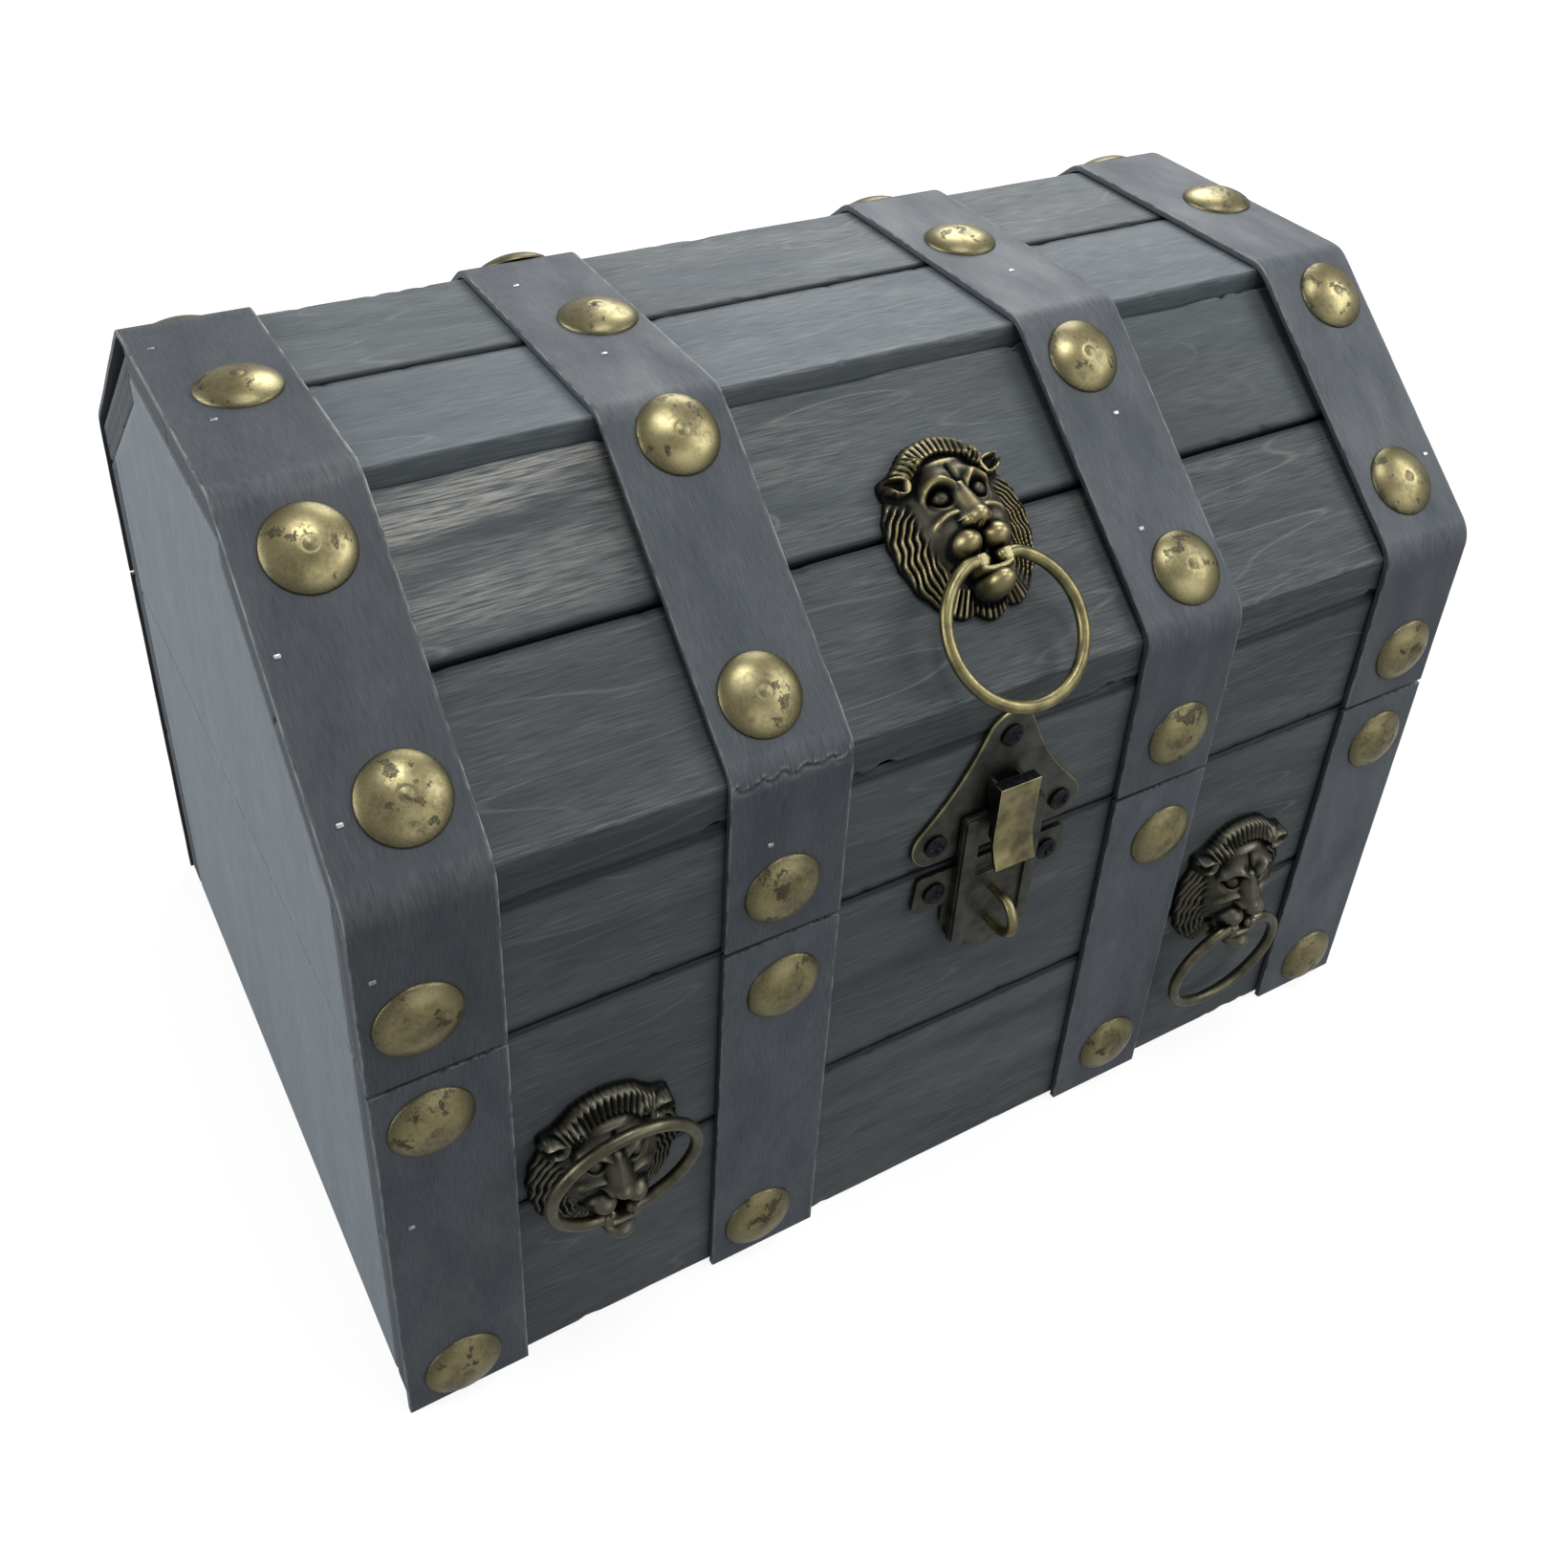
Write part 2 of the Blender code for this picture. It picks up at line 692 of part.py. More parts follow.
def screw_hole(shank_d, length, top, sides=8):
    radius = (shank_d / 2 + HOLE_PLAY) / math.cos(math.pi / sides)
    return rod(radius, -length - shank_d, top, sides)


def placed(mesh, frames):
    return [moved(mesh, frame) for frame in frames]


def lion_frames():
    """Back face of each mask: left and right on the box, and on the lid slope."""
    y = BOARD_Y + SEAT
    beside = BAND_W / 2 + LION_BAND_GAP + LION_W / 2
    return {
        "left": wall(BAND_X[0] + beside, LION_BOX_Z, FRONT, y),
        "right": wall(BAND_X[2] + beside, LION_BOX_Z, FRONT, y),
        "lid": slat_slope(LION_LID_X, LION_LID_RISE, SEAT),
    }


def mask_screw_frame(mask):
    """Screw place on the inner face of the boards behind a mask, its head towards the inside."""
    place = Matrix.Translation((0, MASK_SCREW_RISE, -SEAT - BOARD_T))
    return mask @ place @ Matrix.Rotation(math.pi, 4, "Y")


def mask_screw_length():
    return BOARD_T + SEAT + MASK_SCREW_BITE


def mane_outline():
    """Outline of the mane: an oval of hair locks with an ear on each side."""
    points = []
    count = 48
    for i in range(count):
        angle = math.tau * i / count
        lock = 1.0 - 0.035 * (1.0 - math.cos(angle * 12))
        ear = 0.13 * sum(math.exp(-((angle - at) / 0.16) ** 2) for at in (0.74, math.pi - 0.74))
        x = LION_W / 2 * (lock + ear) * math.cos(angle)
        y = LION_H / 2 * (lock + ear * 0.5) * math.sin(angle)
        points.append((x, y))
    return points


def lion_mask():
    """Lion mask: mane plate, face, brows, nose, muzzle, chin and a jaw bored for the ring's ends."""
    w = LION_W / 2
    h = LION_H / 2
    d = LION_DEPTH
    jaw_y = -RING_PIVOT_DROP
    face = ball((0, 0.10 * h, 0.04 * d), (0.70 * w, 0.73 * h, 0.71 * d), 12, 8)
    jaw = ball((0, jaw_y, RING_PIVOT_H - 0.07 * d), (JAW_W / 2, JAW_H / 2, 0.36 * d))
    chin = ball((0, jaw_y - 0.26 * h, 0.45 * d), (0.24 * w, 0.18 * h, 0.36 * d))
    nose = ball((0, jaw_y + 0.47 * h, 0.64 * d), (0.14 * w, 0.36 * h, 0.36 * d))
    relief = [face, jaw, chin, nose]
    for side in (-1, 1):
        brow = ball((side * 0.28 * w, 0.42 * h, 0.58 * d), (0.27 * w, 0.125 * h, 0.21 * d))
        muzzle = ball((side * 0.20 * w, jaw_y + 0.30 * h, 0.63 * d), (0.26 * w, 0.18 * h, 0.355 * d))
        relief += [brow, muzzle]
    body = fused([plate(mane_outline(), LION_PLATE_T)] + relief)
    bore = pin_bore(RING_WIRE, LION_W, jaw_y, RING_PIVOT_H, 10)
    behind = box((-LION_W, -LION_H, -LION_DEPTH), (LION_W, LION_H, 0))
    hole = screw_hole(MASK_SCREW_D, LION_PLATE_T, MASK_SCREW_BITE + MASK_SCREW_D)
    return carved(body, [bore, behind, moved(hole, Matrix.Translation((0, MASK_SCREW_RISE, 0)))])


def ring_wire():
    """Open ring in the plane y, z = 0 of its pin: two straight ends on the pin axis and the hoop below."""
    half = JAW_W / 2 + RING_WIRE / 2
    drop = math.sqrt(RING_R ** 2 - half ** 2)
    start = math.asin(half / RING_R)
    points = [(RING_END_GAP / 2, 0, 0)]
    for i in range(RING_POINTS + 1):
        angle = start + (math.tau - 2 * start) * i / RING_POINTS
        points.append((RING_R * math.sin(angle), RING_R * math.cos(angle) - drop, 0))
    points.append((-RING_END_GAP / 2, 0, 0))
    return wire(points, RING_WIRE)


def ring_frame(mask, angle):
    """Ring pin in a mask; angle 0 hangs down the mask, positive swings out and up."""
    return mask @ Matrix.Translation((0, -RING_PIVOT_DROP, RING_PIVOT_H)) @ turn_x(-angle)


def latch_frame():
    return wall(LATCH_X, SEAM_Z, FRONT, PLATE_Y)


def plate_screws():
    """Screw places on the lid plate, by name."""
    return {
        "top": (0, LATCH_TOP_Y),
        "left": (-LATCH_LOBE_X, LATCH_LOBE_Y),
        "right": (LATCH_LOBE_X, LATCH_LOBE_Y),
    }


def strike_screws():
    """Screw places on the strike, by name."""
    return {"left": (-STRIKE_WING_X, STRIKE_WING_Y), "right": (STRIKE_WING_X, STRIKE_WING_Y)}


def latch_screw_frame(place):
    return latch_frame() @ Matrix.Translation((*place, LATCH_T))


def latch_screw_holes(places):
    hole = screw_hole(LATCH_SCREW_D, LATCH_SCREW_L, LATCH_T)
    return [moved(hole, Matrix.Translation((*place, LATCH_T))) for place in places.values()]


def upright(outline, x_low, x_high):
    """Plate standing on edge in the latch frame: outline in depth below its z = 0 plane and in y."""
    return moved(plate(outline, x_high - x_low, x_low), Matrix.Rotation(math.pi / 2, 4, "Y"))


def lever_ears():
    """Two ears that stand out of the lid plate and carry the lever pin."""
    inner = LEVER_W / 2 - STEP_IN - LEVER_T - SEAT - EAR_T
    tip = arc((-LEVER_PIN_H, LEVER_PIN_Y), EAR_R, 90, 270, 8)
    root = [(-LATCH_T / 2, LEVER_PIN_Y - EAR_R), (-LATCH_T / 2, LEVER_PIN_Y + EAR_R)]
    outline = tip + root
    return [upright(outline, inner, inner + EAR_T), upright(outline, -inner - EAR_T, -inner)]


def latch_plate():
    lobes = [(-LATCH_LOBE_X, LATCH_LOBE_Y, LATCH_LOBE_R), (LATCH_LOBE_X, LATCH_LOBE_Y, LATCH_LOBE_R),
             (0, LATCH_TOP_Y, LATCH_TOP_R)]
    body = fused([plate(rounded_hull(lobes), LATCH_T)] + lever_ears())
    pin_hole = pin_bore(LEVER_PIN_D, LEVER_W, LEVER_PIN_Y, LEVER_PIN_H, 10)
    return carved(body, [pin_hole] + latch_screw_holes(plate_screws()))


def latch_lever():
    """Bent lever: top web, front web with a flared lip, two cheeks on the pin and a nose behind."""
    inner = LEVER_OUT - LEVER_T
    web_low = LEVER_TOP_Y - LEVER_T
    web = [(-LEVER_PIN_H, LEVER_TOP_Y), (-LEVER_PIN_H, web_low), (-inner, web_low), (-inner, LEVER_FLARE_Y),
           (-LEVER_LIP_OUT + LEVER_T, LEVER_LIP_Y), (-LEVER_LIP_OUT, LEVER_LIP_Y),
           (-LEVER_OUT, LEVER_FLARE_Y), (-LEVER_OUT, LEVER_TOP_Y)]
    cheek_back = LEVER_PIN_H - EAR_R
    cheek_top = LEVER_TOP_Y - LEVER_T / 2
    cheek_low = LEVER_PIN_Y - CHEEK_DROP
    cheek_front = inner + LEVER_T / 2
    cheek = [(-LEVER_PIN_H - STEP_IN, cheek_top), (-cheek_back, LEVER_PIN_Y + EAR_R / 2),
             (-cheek_back, LEVER_PIN_Y - EAR_R / 2), (-LEVER_PIN_H, cheek_low),
             (-cheek_front, cheek_low), (-cheek_front, cheek_top)]
    half = LEVER_W / 2
    nose = box((-NOSE_W / 2, LEVER_FLARE_Y + NOSE_RISE, CHANNEL_FACE + LEVER_NOSE_GAP),
               (NOSE_W / 2, LEVER_FLARE_Y + NOSE_RISE + NOSE_T, inner + LEVER_T / 2))
    cheek_x = half - STEP_IN
    cheeks = [upright(cheek, cheek_x - LEVER_T, cheek_x), upright(cheek, -cheek_x, LEVER_T - cheek_x)]
    body = fused([upright(web, -half, half), nose] + cheeks)
    pin_hole = pin_bore(LEVER_PIN_D, LEVER_W, LEVER_PIN_Y, LEVER_PIN_H, 10)
    carved_body = carved(body, [pin_hole])
    carved_body.transform(Matrix.Translation((0, -LEVER_PIN_Y, -LEVER_PIN_H)))
    return carved_body


def lever_frame():
    return latch_frame() @ Matrix.Translation((0, LEVER_PIN_Y, LEVER_PIN_H))


def strike_outline(top_y, inset=0.0):
    """Channel outline with its pointed foot."""
    half = CHANNEL_W / 2 - inset
    point = CHANNEL_POINT_Y + inset
    return [(half, top_y), (-half, top_y), (-half, CHANNEL_HEEL_Y), (0, point), (half, CHANNEL_HEEL_Y)]


def eye_leg_places():
    return (EYE_Y - EYE_SPAN / 2, EYE_Y + EYE_SPAN / 2)


def latch_strike():
    """Strike: winged base below the seam, and a railed, windowed channel in front of the lid plate."""
    half = CHANNEL_W / 2
    wings = [(-STRIKE_WING_X, STRIKE_WING_Y, STRIKE_WING_R), (STRIKE_WING_X, STRIKE_WING_Y, STRIKE_WING_R)]
    feet = [(-STRIKE_FOOT_X, STRIKE_FOOT_Y, STRIKE_FOOT_R), (STRIKE_FOOT_X, STRIKE_FOOT_Y, STRIKE_FOOT_R)]
    base_top = STRIKE_WING_Y + STRIKE_WING_R
    rails = []
    for x in (STEP_IN - half, half - RAIL_W - STEP_IN):
        rails.append(box((x, CHANNEL_HEEL_Y, CHANNEL_BACK + CHANNEL_T / 2),
                         (x + RAIL_W, CHANNEL_TOP_Y - STEP_IN, CHANNEL_FACE + RAIL_H)))
    body = fused([
        plate(rounded_hull(wings), LATCH_T),
        plate(rounded_hull(feet), LATCH_T * 0.9),
        plate(strike_outline(base_top - STEP_IN, STEP_IN), CHANNEL_BACK + CHANNEL_T / 2),
        plate(strike_outline(CHANNEL_TOP_Y), CHANNEL_T, CHANNEL_BACK),
    ] + rails)
    window = box((-WINDOW_W / 2, WINDOW_LOW_Y, LATCH_T), (WINDOW_W / 2, WINDOW_TOP_Y, LEVER_OUT))
    leg_hole = rod(EYE_WIRE / 2 + HOLE_PLAY, -LATCH_T, LEVER_OUT, 10)
    leg_holes = placed(leg_hole, [Matrix.Translation((0, y, 0)) for y in eye_leg_places()])
    return carved(body, [window] + leg_holes + latch_screw_holes(strike_screws()))


def padlock_eye():
    """Wire loop standing out of the strike, its legs set in the channel."""
    low, high = eye_leg_places()
    radius = EYE_SPAN / 2
    crown = CHANNEL_FACE + EYE_OUT - radius
    points = [(0, low, SEAT)]
    points += [(0, EYE_Y + y, crown + z) for y, z in arc((0, 0), radius, 180, 0, 10)]
    points.append((0, high, SEAT))
    return wire(points, EYE_WIRE)


def hinge_frame(x):
    """Hinge frame on the rear boards, its origin on the pin axis."""
    return wall(x, SEAM_Z, REAR, HINGE_AXIS_Y)


def hinge_leaf(sign):
    """Leaf, knuckles and screws: sign 1 for the lid leaf, with the middle knuckle, -1 for the box leaf."""
    half = HINGE_W / 2
    third = HINGE_W / 6
    back = -KNUCKLE_R
    root = KNUCKLE_R + KNUCKLE_GAP
    spans = [(-third + KNUCKLE_GAP, third - KNUCKLE_GAP)] if sign > 0 else [(-half, -third), (third, half)]
    low, high = sorted((sign * root, sign * HINGE_LEAF_H))
    pieces = [box((-half, low, back), (half, high, back + HINGE_T))]
    for x_low, x_high in spans:
        tongue_low, tongue_high = sorted((0, sign * (root + HINGE_T)))
        pieces.append(box((x_low + STEP_IN, tongue_low, back + STEP_IN),
                          (x_high - STEP_IN, tongue_high, back + HINGE_T - STEP_IN)))
        knuckle = cross_rod(KNUCKLE_R, (x_high - x_low) / 2, 0, 0, 14)
        pieces.append(moved(knuckle, Matrix.Translation(((x_low + x_high) / 2, 0, 0))))
    screw = pan_screw(HINGE_SCREW_HEAD_D, HINGE_SCREW_HEAD_H, HINGE_SCREW_D, HINGE_SCREW_L, -HINGE_T / 2)
    pieces += placed(screw, hinge_screw_places(sign))
    return carved(fused(pieces), [pin_bore(HINGE_PIN_D, HINGE_W, 0, 0, 12)])


def hinge_screw_places(sign):
    """Screw places on a leaf, in the hinge frame."""
    face = -KNUCKLE_R + HINGE_T
    return [Matrix.Translation((x, sign * HINGE_SCREW_Y, face)) for x in (-HINGE_SCREW_X, HINGE_SCREW_X)]


def hinge_screw_frames(sign):
    return [hinge_frame(x) @ place for x in (-BAY_X, BAY_X) for place in hinge_screw_places(sign)]


def build_box(chest, holes):
    """Box: two boards front and rear, two end panels, a bottom and the nailed front and rear strips."""
    upper_low = LOWER_BOARD_H + JOINT_GAP
    for side, name in ((FRONT, "front"), (REAR, "rear")):
        y_low, y_high = sorted((side * BOARD_Y, side * INNER_Y))
        lower = box((-END_X, y_low, 0), (END_X, y_high, LOWER_BOARD_H))
        upper = box((-END_X, y_low, upper_low), (END_X, y_high, BOX_TOP))
        chest.add(f"box_{name}_lower_board", lower, "stained_plywood", cutters=holes)
        chest.add(f"box_{name}_upper_board", upper, "stained_plywood", cutters=holes)
        strip_low, strip_high = sorted((side * DEPTH / 2, side * (DEPTH / 2 - BAND_T)))
        strip_top = SEAM_Z - BAND_SEAM_GAP / 2
        for i, x in enumerate(BAND_X):
            strip = box((x - BAND_W / 2, strip_low, 0), (x + BAND_W / 2, strip_high, strip_top))
            band = nailed(strip, box_stud_frames(i, side), box_brad_frames(i, side))
            chest.add(f"box_{name}_band_{i + 1}", band, "stained_strip", smooth=True)
    for sign, name in ((-1, "left"), (1, "right")):
        x_low, x_high = sorted((sign * END_X, sign * (END_X - PANEL_T)))
        chest.add(f"box_{name}_end", box((x_low, -PANEL_Y, 0), (x_high, PANEL_Y, BOX_TOP)), "stained_plywood")
    inner_x = END_X - PANEL_T - SEAT
    chest.add("box_bottom", box((-inner_x, -PANEL_Y, 0), (inner_x, PANEL_Y, BOTTOM_T)), "stained_plywood")


def build_lid(chest, holes):
    """Lid: rails, slope slats and top slats over two end panels, with the four bent and nailed bands."""
    outlines = {
        "rail": rail_outline(),
        "lower_slat": lower_slat_outline(),
        "upper_slat": upper_slat_outline(),
        "top_slat": top_slat_outline(),
    }
    for name, outline in outlines.items():
        for side, shape in (("front", outline), ("rear", mirrored(outline))):
            slat = swept(shape, -END_X, END_X)
            chest.add(f"lid_{side}_{name}", slat, "stained_plywood", parent=chest.lid_axis, cutters=holes)
    for sign, name in ((-1, "left"), (1, "right")):
        x_low, x_high = sorted((sign * END_X, sign * (END_X - PANEL_T)))
        panel = swept(lid_panel_outline(), x_low, x_high)
        chest.add(f"lid_{name}_end", panel, "stained_plywood", parent=chest.lid_axis)
    for i, x in enumerate(BAND_X):
        strip = swept(band_outline(), x - BAND_W / 2, x + BAND_W / 2)
        band = nailed(strip, lid_stud_frames(i), lid_brad_frames(i))
        chest.add(f"lid_band_{i + 1}", band, "stained_strip", parent=chest.lid_axis, smooth=True)


def build_pulls(chest):
    """Three lion masks with their rings and the screws that hold them from inside."""
    mask_mesh = lion_mask()
    ring_mesh = ring_wire()
    screw = pan_screw(MASK_SCREW_HEAD_D, MASK_SCREW_HEAD_H, MASK_SCREW_D, mask_screw_length())
    masks = lion_frames()
    angles = {"left": math.pi - LEFT_RING_LEAN, "right": -RING_SINK, "lid": -RING_SINK}
    for name, mask in masks.items():
        parent = chest.lid_axis if name == "lid" else None
        chest.add(f"{name}_lion", mask_mesh.copy(), "antique_bronze", mask, parent, smooth=True)
        ring = ring_frame(mask, angles[name])
        chest.add(f"{name}_ring", ring_mesh.copy(), "antique_bronze", ring, parent, smooth=True)
        inside = mask_screw_frame(mask)
        chest.add(f"{name}_lion_screw", screw.copy(), "bright_steel", inside, parent, smooth=True)


def build_latch(chest):
    """Lever latch: plate, pin and lever on the lid, strike and padlock eye on the box, and their screws."""
    lid = chest.lid_axis
    frame = latch_frame()
    screw = pan_screw(LATCH_SCREW_HEAD_D, LATCH_SCREW_HEAD_H, LATCH_SCREW_D, LATCH_SCREW_L)
    chest.add("latch_plate", latch_plate(), "antique_bronze", frame, lid)
    lever_axis = chest.empty("latch_lever_axis", lever_frame(), lid)
    chest.add("latch_lever", latch_lever(), "antique_bronze", lever_frame(), lever_axis)
    pin = cross_rod(LEVER_PIN_D / 2, LEVER_W / 2, LEVER_PIN_Y, LEVER_PIN_H, 10)
    chest.add("latch_pin", pin, "blackened_steel", frame, lid)
    chest.add("latch_strike", latch_strike(), "antique_bronze", frame)
    chest.add("padlock_eye", padlock_eye(), "antique_bronze", frame, smooth=True)
    for name, place in plate_screws().items():
        at = latch_screw_frame(place)
        chest.add(f"latch_plate_screw_{name}", screw.copy(), "blackened_steel", at, lid, smooth=True)
    for name, place in strike_screws().items():
        at = latch_screw_frame(place)
        chest.add(f"latch_strike_screw_{name}", screw.copy(), "blackened_steel", at, smooth=True)


def build_hinges(chest):
    """Two butt hinges on the rear boards."""
    for x, name in ((-BAY_X, "left"), (BAY_X, "right")):
        frame = hinge_frame(x)
        chest.add(f"{name}_hinge_lid_leaf", hinge_leaf(1), "blackened_steel", frame, chest.lid_axis)
        chest.add(f"{name}_hinge_box_leaf", hinge_leaf(-1), "blackened_steel", frame)
        pin = cross_rod(HINGE_PIN_D / 2, HINGE_W / 2, 0, 0, 12)
        chest.add(f"{name}_hinge_pin", pin, "blackened_steel", frame)


def fastener_holes(chest):
    """Cutters for every nail and screw: one set for the lid and one for the box."""
    masks = lion_frames()
    mask_hole = screw_hole(MASK_SCREW_D, mask_screw_length(), MASK_SCREW_HEAD_H)
    latch_hole = screw_hole(LATCH_SCREW_D, LATCH_SCREW_L, LATCH_SCREW_HEAD_H)
    hinge_hole = screw_hole(HINGE_SCREW_D, HINGE_SCREW_L, HINGE_SCREW_HEAD_H)
    lid = placed(mask_hole, [mask_screw_frame(masks["lid"])])
    lid += placed(latch_hole, [latch_screw_frame(place) for place in plate_screws().values()])
    lid += placed(hinge_hole, hinge_screw_frames(1))
    below = placed(mask_hole, [mask_screw_frame(masks["left"]), mask_screw_frame(masks["right"])])
    below += placed(latch_hole, [latch_screw_frame(place) for place in strike_screws().values()])
    below += placed(hinge_hole, hinge_screw_frames(-1))
    for i in range(len(BAND_X)):
        lid += placed(stud_hole(), lid_stud_frames(i)) + placed(brad_hole(), lid_brad_frames(i))
        for side in (FRONT, REAR):
            below += placed(stud_hole(), box_stud_frames(i, side))
            below += placed(brad_hole(), box_brad_frames(i, side))
    return [chest.cutter("lid_fastener_holes", lid)], [chest.cutter("box_fastener_holes", below)]


def main():
    clear_scene()
    chest = Chest()
    lid_holes, box_holes = fastener_holes(chest)
    build_box(chest, box_holes)
    build_lid(chest, lid_holes)
    build_pulls(chest)
    build_latch(chest)
    build_hinges(chest)


main()
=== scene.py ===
"""Treasure chest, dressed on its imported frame: stained boards, bands, studs, lion pulls and a lever latch.

Metres, +Z up, +X to the right along the length, the front faces -Y.
"""

import math

import bmesh
import bpy
import numpy as np
from bpy.props import FloatProperty, FloatVectorProperty, PointerProperty
from mathutils import Matrix, Vector


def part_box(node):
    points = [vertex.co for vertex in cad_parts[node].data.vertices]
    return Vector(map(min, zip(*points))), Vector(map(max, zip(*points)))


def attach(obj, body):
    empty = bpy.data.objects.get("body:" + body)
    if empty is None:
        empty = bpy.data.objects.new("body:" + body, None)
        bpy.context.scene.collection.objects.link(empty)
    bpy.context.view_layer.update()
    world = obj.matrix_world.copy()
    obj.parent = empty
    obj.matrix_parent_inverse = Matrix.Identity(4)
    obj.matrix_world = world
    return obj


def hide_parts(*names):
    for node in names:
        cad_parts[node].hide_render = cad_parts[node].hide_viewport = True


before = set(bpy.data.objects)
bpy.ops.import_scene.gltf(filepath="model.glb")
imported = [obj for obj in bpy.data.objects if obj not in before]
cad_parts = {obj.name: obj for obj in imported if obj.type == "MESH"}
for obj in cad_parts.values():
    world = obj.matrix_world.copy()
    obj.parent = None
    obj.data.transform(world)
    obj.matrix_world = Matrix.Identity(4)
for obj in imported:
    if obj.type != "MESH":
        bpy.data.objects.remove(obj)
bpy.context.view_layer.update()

bl_info = {
    "name": "Treasure chest",
    "version": (1, 0, 0),
    "blender": (4, 5, 0),
    "location": "3D View > Sidebar > Chest",
    "description": "Dresses the packed treasure chest with its boards, bands, studs, pulls and latch",
    "category": "Object",
}

MM = 0.001


def middle(node):
    """Middle of a CAD node's box."""
    low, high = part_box(node)
    return (low + high) / 2


# Main lines of the chest, read from the frame where one node shows them
HINGE_X, HINGE_Y, SEAM_Z = middle("right_hinge_pin")
BAND_X = [middle(f"lid_band_{i}").x for i in (1, 2, 3, 4)]
BOARD_Y = -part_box("lid_front_rail")[0].y
BOARD_THICKNESS = 9.0 * MM
# bends of the bands, on their outside
SHOULDER_Z = 163.0 * MM
CROWN_Z = 217.4 * MM
CROWN_Y = 39.2 * MM
BAND_Y = 103.0 * MM
BAND_ANGLE = math.atan2(CROWN_Z - SHOULDER_Z, BAND_Y - CROWN_Y)
# the slats slope from an edge below the shoulder to the top slat, whose edge stands above them
SLAT_EDGE_Z = SHOULDER_Z - 1.8 * MM
TOP_STEP = 4.0 * MM
TOP_FRONT_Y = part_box("lid_front_top_slat")[0].y
TOP_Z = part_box("lid_front_top_slat")[1].z
SLAT_ANGLE = math.atan2(TOP_Z - TOP_STEP - SLAT_EDGE_Z, BOARD_Y + TOP_FRONT_Y)
# fittings stand this far off the boards
SEAT = 0.3 * MM


def linear(code):
    """Linear colour of an sRGB hex code, with full alpha."""
    parts = [int(code[i:i + 2], 16) / 255 for i in (0, 2, 4)]
    return (*[p / 12.92 if p <= 0.04045 else ((p + 0.055) / 1.055) ** 2.4 for p in parts], 1.0)


def colour(name, description, code):
    """Colour setting, from an sRGB hex code."""
    return FloatVectorProperty(name=name, description=description, default=linear(code), subtype="COLOR",
                               size=4, min=0.0, max=1.0)


def size(name, description, millimetres):
    """Length setting, given in millimetres."""
    return FloatProperty(name=name, description=description, default=millimetres * MM, min=0.0,
                         subtype="DISTANCE", unit="LENGTH", precision=5)


class ChestWood(bpy.types.PropertyGroup):
    stain: colour("Stain", "Slate-grey stain on the boards", "50575b")
    # also painted shade: the deeper coat on the front boards, where their tone is below 0
    deep_stain_and_shade: colour("Deep stain", "Where the boards took up more stain", "383e42")
    # also painted light: the top slats and end panels are made lighter as the light falls on them
    thin_stain_and_painted_light: colour("Light stain", "Top slats and end panels, where the stain is thin", "69747d")
    dry_brush: colour("Dry brush", "Warm white brushed over the grain", "94958f")
    ply_edge: colour("Ply edge", "Sawn edges of the plywood", "23282f")
    # dirt in the joints, with painted shade there
    joint_dirt_and_shade: colour("Grime", "Dark stain and dirt in the joints between boards", "1d2226")
    fibre: size("Fibre width", "Width of one wood fibre bundle", 0.32)
    edge_round: size("Edge rounding", "Rounding of the board edges", 0.65)


class ChestBands(bpy.types.PropertyGroup):
    stain: colour("Stain", "Blue-grey stain on the bands", "4a5056")
    # also painted shade: the dark sides of the bands and the inside of the tear
    deep_stain_and_shade: colour("Deep stain", "Darker patches and the cut sides of the bands", "353c43")
    # the pale edges and bends are partly rubbed fibre and partly painted highlight
    worn: colour("Worn edge", "Bare pale fibre along the edges and bends", "a3a4a0")
    width: size("Width", "Width of a band", 29.6)
    thickness: size("Thickness", "Thickness of a band", 1.6)
    bend: size("Bend radius", "Radius of the bends over the lid", 9.6)
    edge_round: size("Edge rounding", "Rounding of the band edges", 0.35)


class ChestStuds(bpy.types.PropertyGroup):
    brass: colour("Brass", "Polished brass of the domes", "9c936b")
    # also painted shade: the darker rims and lower sides of the domes
    patina_and_shade: colour("Patina", "Brown stains on the domes", "3d3b33")
    steel: colour("Brad steel", "Bright steel of the brads", "aeb2b4")
    diameter: size("Stud diameter", "Diameter of a domed stud", 19.0)
    height: size("Stud height", "Height of a domed stud", 3.5)
    brad_width: size("Brad width", "Width of a brad head", 1.5)


class ChestPulls(bpy.types.PropertyGroup):
    bronze: colour("Bronze", "Body colour of the masks", "48463d")
    recess: colour("Recess", "Dark antiquing in the recesses", "191b1d")
    rubbed: colour("Rubbed brass", "Brass rubbed bright on the high points of the lid mask", "968c68")
    # painted shade: the box masks' high points are a darker, colder copy of the lid mask's brass, as they sit
    # on the shaded front
    dull_and_shaded: colour("Dull brass", "High points of the box masks, which are rubbed less", "605e52")
    ring: colour("Ring brass", "Brass of the lid's ring wire", "8b845e")
    # painted shade: a darker copy of the ring brass for the box rings on the shaded front
    shaded_ring: colour("Dull ring brass", "Brass of the box's ring wires, which are rubbed less", "686552")
    mask_width: size("Mask width", "Width of a lion mask", 38.0)
    mask_height: size("Mask height", "Height of a lion mask", 45.2)
    mask_depth: size("Mask depth", "Height of the nose above the mask's back", 14.0)
    ring_radius: size("Ring radius", "Radius of a ring, to the middle of its wire", 17.7)
    ring_wire: size("Ring wire", "Diameter of the ring wire", 3.1)


